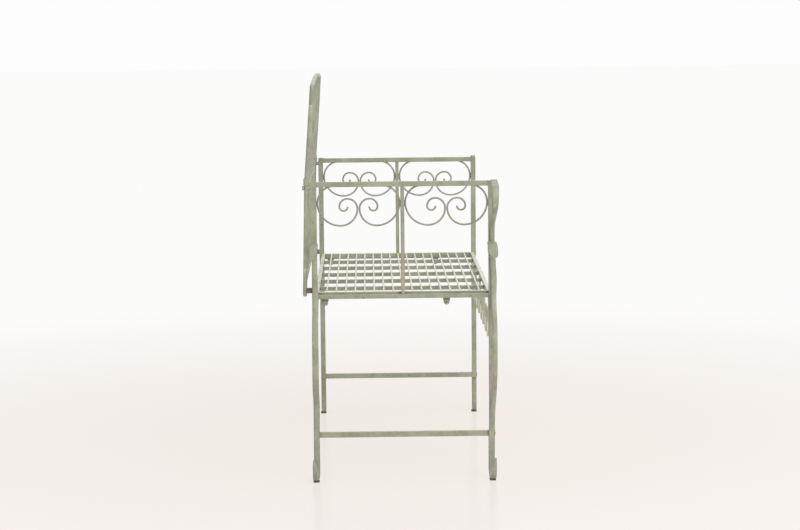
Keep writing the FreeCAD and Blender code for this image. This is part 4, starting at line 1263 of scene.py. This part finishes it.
@dataclass
class WeldBeads:
    """Painted-over weld beads where rods, bars and wires meet. Their sizes are half sizes."""

    finishes: Finishes
    rod_bead_mm: tuple[float, float, float] = (1.6, 1.2, 1.1)
    rod_end_bead_mm: tuple[float, float, float] = (1.1, 3.0, 2.6)
    bar_bead_mm: tuple[float, float, float] = (4.6, 1.5, 1.5)
    scroll_bead_mm: tuple[float, float, float] = (1.8, 1.3, 8.0)
    post_blob_mm: tuple[float, float, float] = (4.2, 2.4, 8.5)
    shade_bead_mm: tuple[float, float, float] = (6.0, 3.4, 4.0)
    scroll_share: float = 0.43
    rod_side_share: float = 0.8
    rod_rise_mm: float = 0.4
    rods: int = 17
    roundings: int = 2
    spread: float = 0.25
    seed: int = 7

    def build(self, nodes: dict[str, bpy.types.Object]) -> None:
        """Makes the beads of the seat, of the side frames and of the cross bars' ends.

        Args:
            nodes: The CAD nodes by name.
        """
        tree = self.bead_tree()
        # The last beads take the dark paint, as painted shade at the cross bars' ends
        kinds = (("seat_weld_beads", self.seat_beads(nodes), Wear.EVEN),
                 ("frame_weld_beads", self.frame_beads(nodes), Wear.EVEN),
                 ("shade_painted_weld_beads", self.shade_beads(nodes), Wear.SHELTERED))
        for name, beads, wear in kinds:
            piece = run_tree(name, self.points_mesh(name, beads), tree, {
                "Spread": self.spread, "Seed": self.seed, "Finish": self.finishes.paints[wear]})

    def cross_bars(self, nodes: dict[str, bpy.types.Object]) -> list[tuple[Vector, Vector]]:
        """The lowest and highest corners of each of the seat's cross bars."""
        return [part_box(name) for name in sorted(nodes) if name.startswith("seat_cross_bar")]

    def shade_beads(self, nodes: dict[str, bpy.types.Object]) -> list[Bead]:
        """Weld beads at the ends of the seat's cross bars, dark as painted shade where the bars meet the
        rails.

        Args:
            nodes: The CAD nodes by name.

        Returns:
            The place and the half sizes of each bead.
        """
        beads = []
        for low, high in self.cross_bars(nodes):
            middle = (low + high) / 2
            beads += [(Vector((middle.x, y, middle.z)), self.shade_bead_mm) for y in (low.y, high.y)]
        return beads

    def bead_tree(self) -> bpy.types.NodeTree:
        """A tree that puts a bead on every point, with the point's own size.

        Returns:
            The tree.
        """
        tree, start, end = new_tree("weld_beads", {
            "Spread": "NodeSocketFloat", "Seed": "NodeSocketInt", "Finish": "NodeSocketMaterial"})
        bead = add_node(tree, "GeometryNodeMeshIcoSphere", {
            "Radius": 1.0, "Subdivisions": self.roundings}).outputs["Mesh"]
        bead_size = add_node(tree, "GeometryNodeInputNamedAttribute", {"Name": "bead_size"},
                             data_type="FLOAT_VECTOR")
        least = add_node(tree, "ShaderNodeMath", {0: 1.0, 1: start.outputs["Spread"]}, operation="SUBTRACT")
        vary = add_node(tree, "FunctionNodeRandomValue", {
            "Min": least.outputs[0], "Max": 1.0, "Seed": start.outputs["Seed"]}, data_type="FLOAT")
        scale = add_node(tree, "ShaderNodeVectorMath", {
            0: bead_size.outputs["Attribute"], "Scale": vary.outputs["Value"]}, operation="SCALE")
        beads = add_node(tree, "GeometryNodeInstanceOnPoints", {
            "Points": start.outputs["Geometry"], "Instance": bead, "Scale": scale.outputs["Vector"]})
        return finish_tree(tree, beads.outputs["Instances"], start, end)

    def points_mesh(self, name: str, beads: list[Bead]) -> bpy.types.Mesh:
        """Points that carry the size of their beads.

        Args:
            name: The piece's name.
            beads: The place and the half sizes of each bead.

        Returns:
            A mesh of loose points.
        """
        mesh = bpy.data.meshes.new(name + "_points")
        mesh.from_pydata([place for place, _ in beads], [], [])
        sizes = mesh.attributes.new("bead_size", "FLOAT_VECTOR", "POINT")
        for item, (_, half_sizes) in zip(sizes.data, beads):
            item.vector = Vector(half_sizes) * MM
        return mesh

    def seat_beads(self, nodes: dict[str, bpy.types.Object]) -> list[Bead]:
        """Beads where the seat rods cross the bars and end in the end bars.

        Args:
            nodes: The CAD nodes by name.

        Returns:
            The place and the half sizes of each bead.
        """
        low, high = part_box("seat_rods")
        radius = (high.z - low.z) / 2
        pitch = (high.y - low.y - 2 * radius) / (self.rods - 1)
        lines = [low.y + radius + pitch * n for n in range(self.rods)]
        beads = []
        for bar_low, bar_high in self.cross_bars(nodes):
            x = (bar_low.x + bar_high.x) / 2
            for y in lines:
                for side in (-1, 1):
                    beside = y + side * radius * self.rod_side_share
                    place = Vector((x, beside, bar_high.z + self.rod_rise_mm * MM))
                    beads.append((place, self.rod_bead_mm))
        for x in (low.x, high.x):
            beads += [(Vector((x, y, (low.z + high.z) / 2)), self.rod_end_bead_mm) for y in lines]
        return beads

    def frame_beads(self, nodes: dict[str, bpy.types.Object]) -> list[Bead]:
        """Beads at the ends of the side frames' bars and beside their scrolls.

        Args:
            nodes: The CAD nodes by name.

        Returns:
            The place and the half sizes of each bead.
        """
        beads = []
        for bar in sorted(nodes):
            low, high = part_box(bar)
            x = (low.x + high.x) / 2
            if bar.startswith(("arm_rail", "seat_side_rail", "stretcher")):
                for y in (low.y, high.y):
                    beads += [(Vector((x, y, z)), self.bar_bead_mm) for z in (low.z, high.z)]
            elif bar.startswith("front_post"):
                beam_low, beam_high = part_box(bar.replace("front_post", "stretcher"))
                beads.append((Vector((x, low.y, (beam_low.z + beam_high.z) / 2)), self.post_blob_mm))
            elif bar.startswith("arm_scroll"):
                height = high.z - self.scroll_share * (high.z - low.z)
                beads += [(Vector((x, y, height)), self.scroll_bead_mm) for y in (low.y, high.y)]
        return beads


@dataclass
class Studio:
    """The camera, the lamps, the world and the floor, in metres."""

    camera_place: tuple[float, float, float] = (-5.7541, 0.07635, 1.1056)
    yaw_degrees: float = -0.826
    pitch_degrees: float = -6.357
    roll_degrees: float = -0.549
    focal_pixels: float = 2259.4
    picture_width: float = 800.0
    sensor_mm: float = 36.0
    floor_half: float = 40.0
    world_light: float = 0.57
    overhead_place: tuple[float, float, float] = (-1.0, -0.8, 4.2)
    overhead_side: float = 3.6
    overhead_watts: float = 66.0
    fill_place: tuple[float, float, float] = (-3.6, -2.2, 2.4)
    fill_side: float = 2.2
    fill_watts: float = 56.0
    aim: tuple[float, float, float] = (0.0, 0.0, 0.45)

    def build(self) -> None:
        """Sets up everything around the bench."""
        self.camera()
        self.floor()
        self.world()
        self.lamp("overhead_softbox", self.overhead_place, self.overhead_side, self.overhead_watts)
        self.lamp("end_softbox", self.fill_place, self.fill_side, self.fill_watts)
        bpy.context.scene.view_settings.view_transform = "Standard"

    def camera(self) -> None:
        """The camera, where the photograph was taken from."""
        turns = (self.yaw_degrees, self.pitch_degrees, self.roll_degrees)
        yaw, pitch, roll = (math.radians(turn) for turn in turns)
        ahead = Vector((math.cos(pitch) * math.cos(yaw), math.cos(pitch) * math.sin(yaw), math.sin(pitch)))
        level = Vector((math.sin(yaw), -math.cos(yaw), 0.0))
        upright = level.cross(ahead)
        right = level * math.cos(roll) + upright * math.sin(roll)
        up = upright * math.cos(roll) - level * math.sin(roll)
        data = bpy.data.cameras.new("photo_camera")
        data.sensor_width = self.sensor_mm
        data.lens = self.focal_pixels * self.sensor_mm / self.picture_width
        camera = bpy.data.objects.new("photo_camera", data)
        turn = Matrix((right, up, -ahead)).transposed().to_4x4()
        camera.matrix_world = Matrix.Translation(self.camera_place) @ turn
        bpy.context.scene.collection.objects.link(camera)
        bpy.context.scene.camera = camera

    def floor(self) -> None:
        """A wide sheet of paper under the feet."""
        mesh = bpy.data.meshes.new("studio_floor")
        builder = bmesh.new()
        bmesh.ops.create_grid(builder, x_segments=1, y_segments=1, size=self.floor_half)
        builder.to_mesh(mesh)
        builder.free()
        mesh.materials.append(StudioFloor().material())
        link_object("studio_floor", mesh)

    def world(self) -> None:
        """White all round, at full strength only where the camera or a reflection sees it."""
        world = bpy.data.worlds.new("white_studio")
        bpy.context.scene.world = world
        world.use_nodes = True
        tree = world.node_tree
        tree.nodes.clear()
        strength = add_node(tree, "ShaderNodeMapRange", {
            "Value": seen_by_eye(tree), "To Min": self.world_light})
        light = add_node(tree, "ShaderNodeBackground", {
            "Color": linear(StudioFloor().far), "Strength": strength.outputs["Result"]})
        output = add_node(tree, "ShaderNodeOutputWorld")
        tree.links.new(light.outputs["Background"], output.inputs["Surface"])

    def lamp(self, name: str, place: tuple[float, float, float], size: float, watts: float) -> None:
        """A soft square lamp that looks at the middle of the bench.

        Args:
            name: The lamp's name.
            place: Where it hangs.
            size: The length of its side.
            watts: Its power.
        """
        data = bpy.data.lights.new(name, "AREA")
        data.size = size
        data.energy = watts
        lamp = bpy.data.objects.new(name, data)
        lamp.location = place
        lamp.rotation_mode = "QUATERNION"
        lamp.rotation_quaternion = (Vector(self.aim) - Vector(place)).to_track_quat("-Z", "Y")
        bpy.context.scene.collection.objects.link(lamp)


def main() -> None:
    """Builds the bench's looks in order."""
    logging.basicConfig(level=logging.INFO, format="%(name)s %(message)s")
    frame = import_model()
    slots = {part["node"]: part["material_slot"] for part in frame["record"]["subparts"]}
    finishes = Finishes()
    IronBars(finishes).dress(frame["nodes"], slots)
    wire_tree = round_wire_tree()
    BackArch(finishes).build(wire_tree)
    ScrollWork(finishes).build(frame["nodes"], wire_tree)
    StrapWork(finishes).build()
    WeldBeads(finishes).build(frame["nodes"])
    Studio().build()


if __name__ == "__main__":
    main()
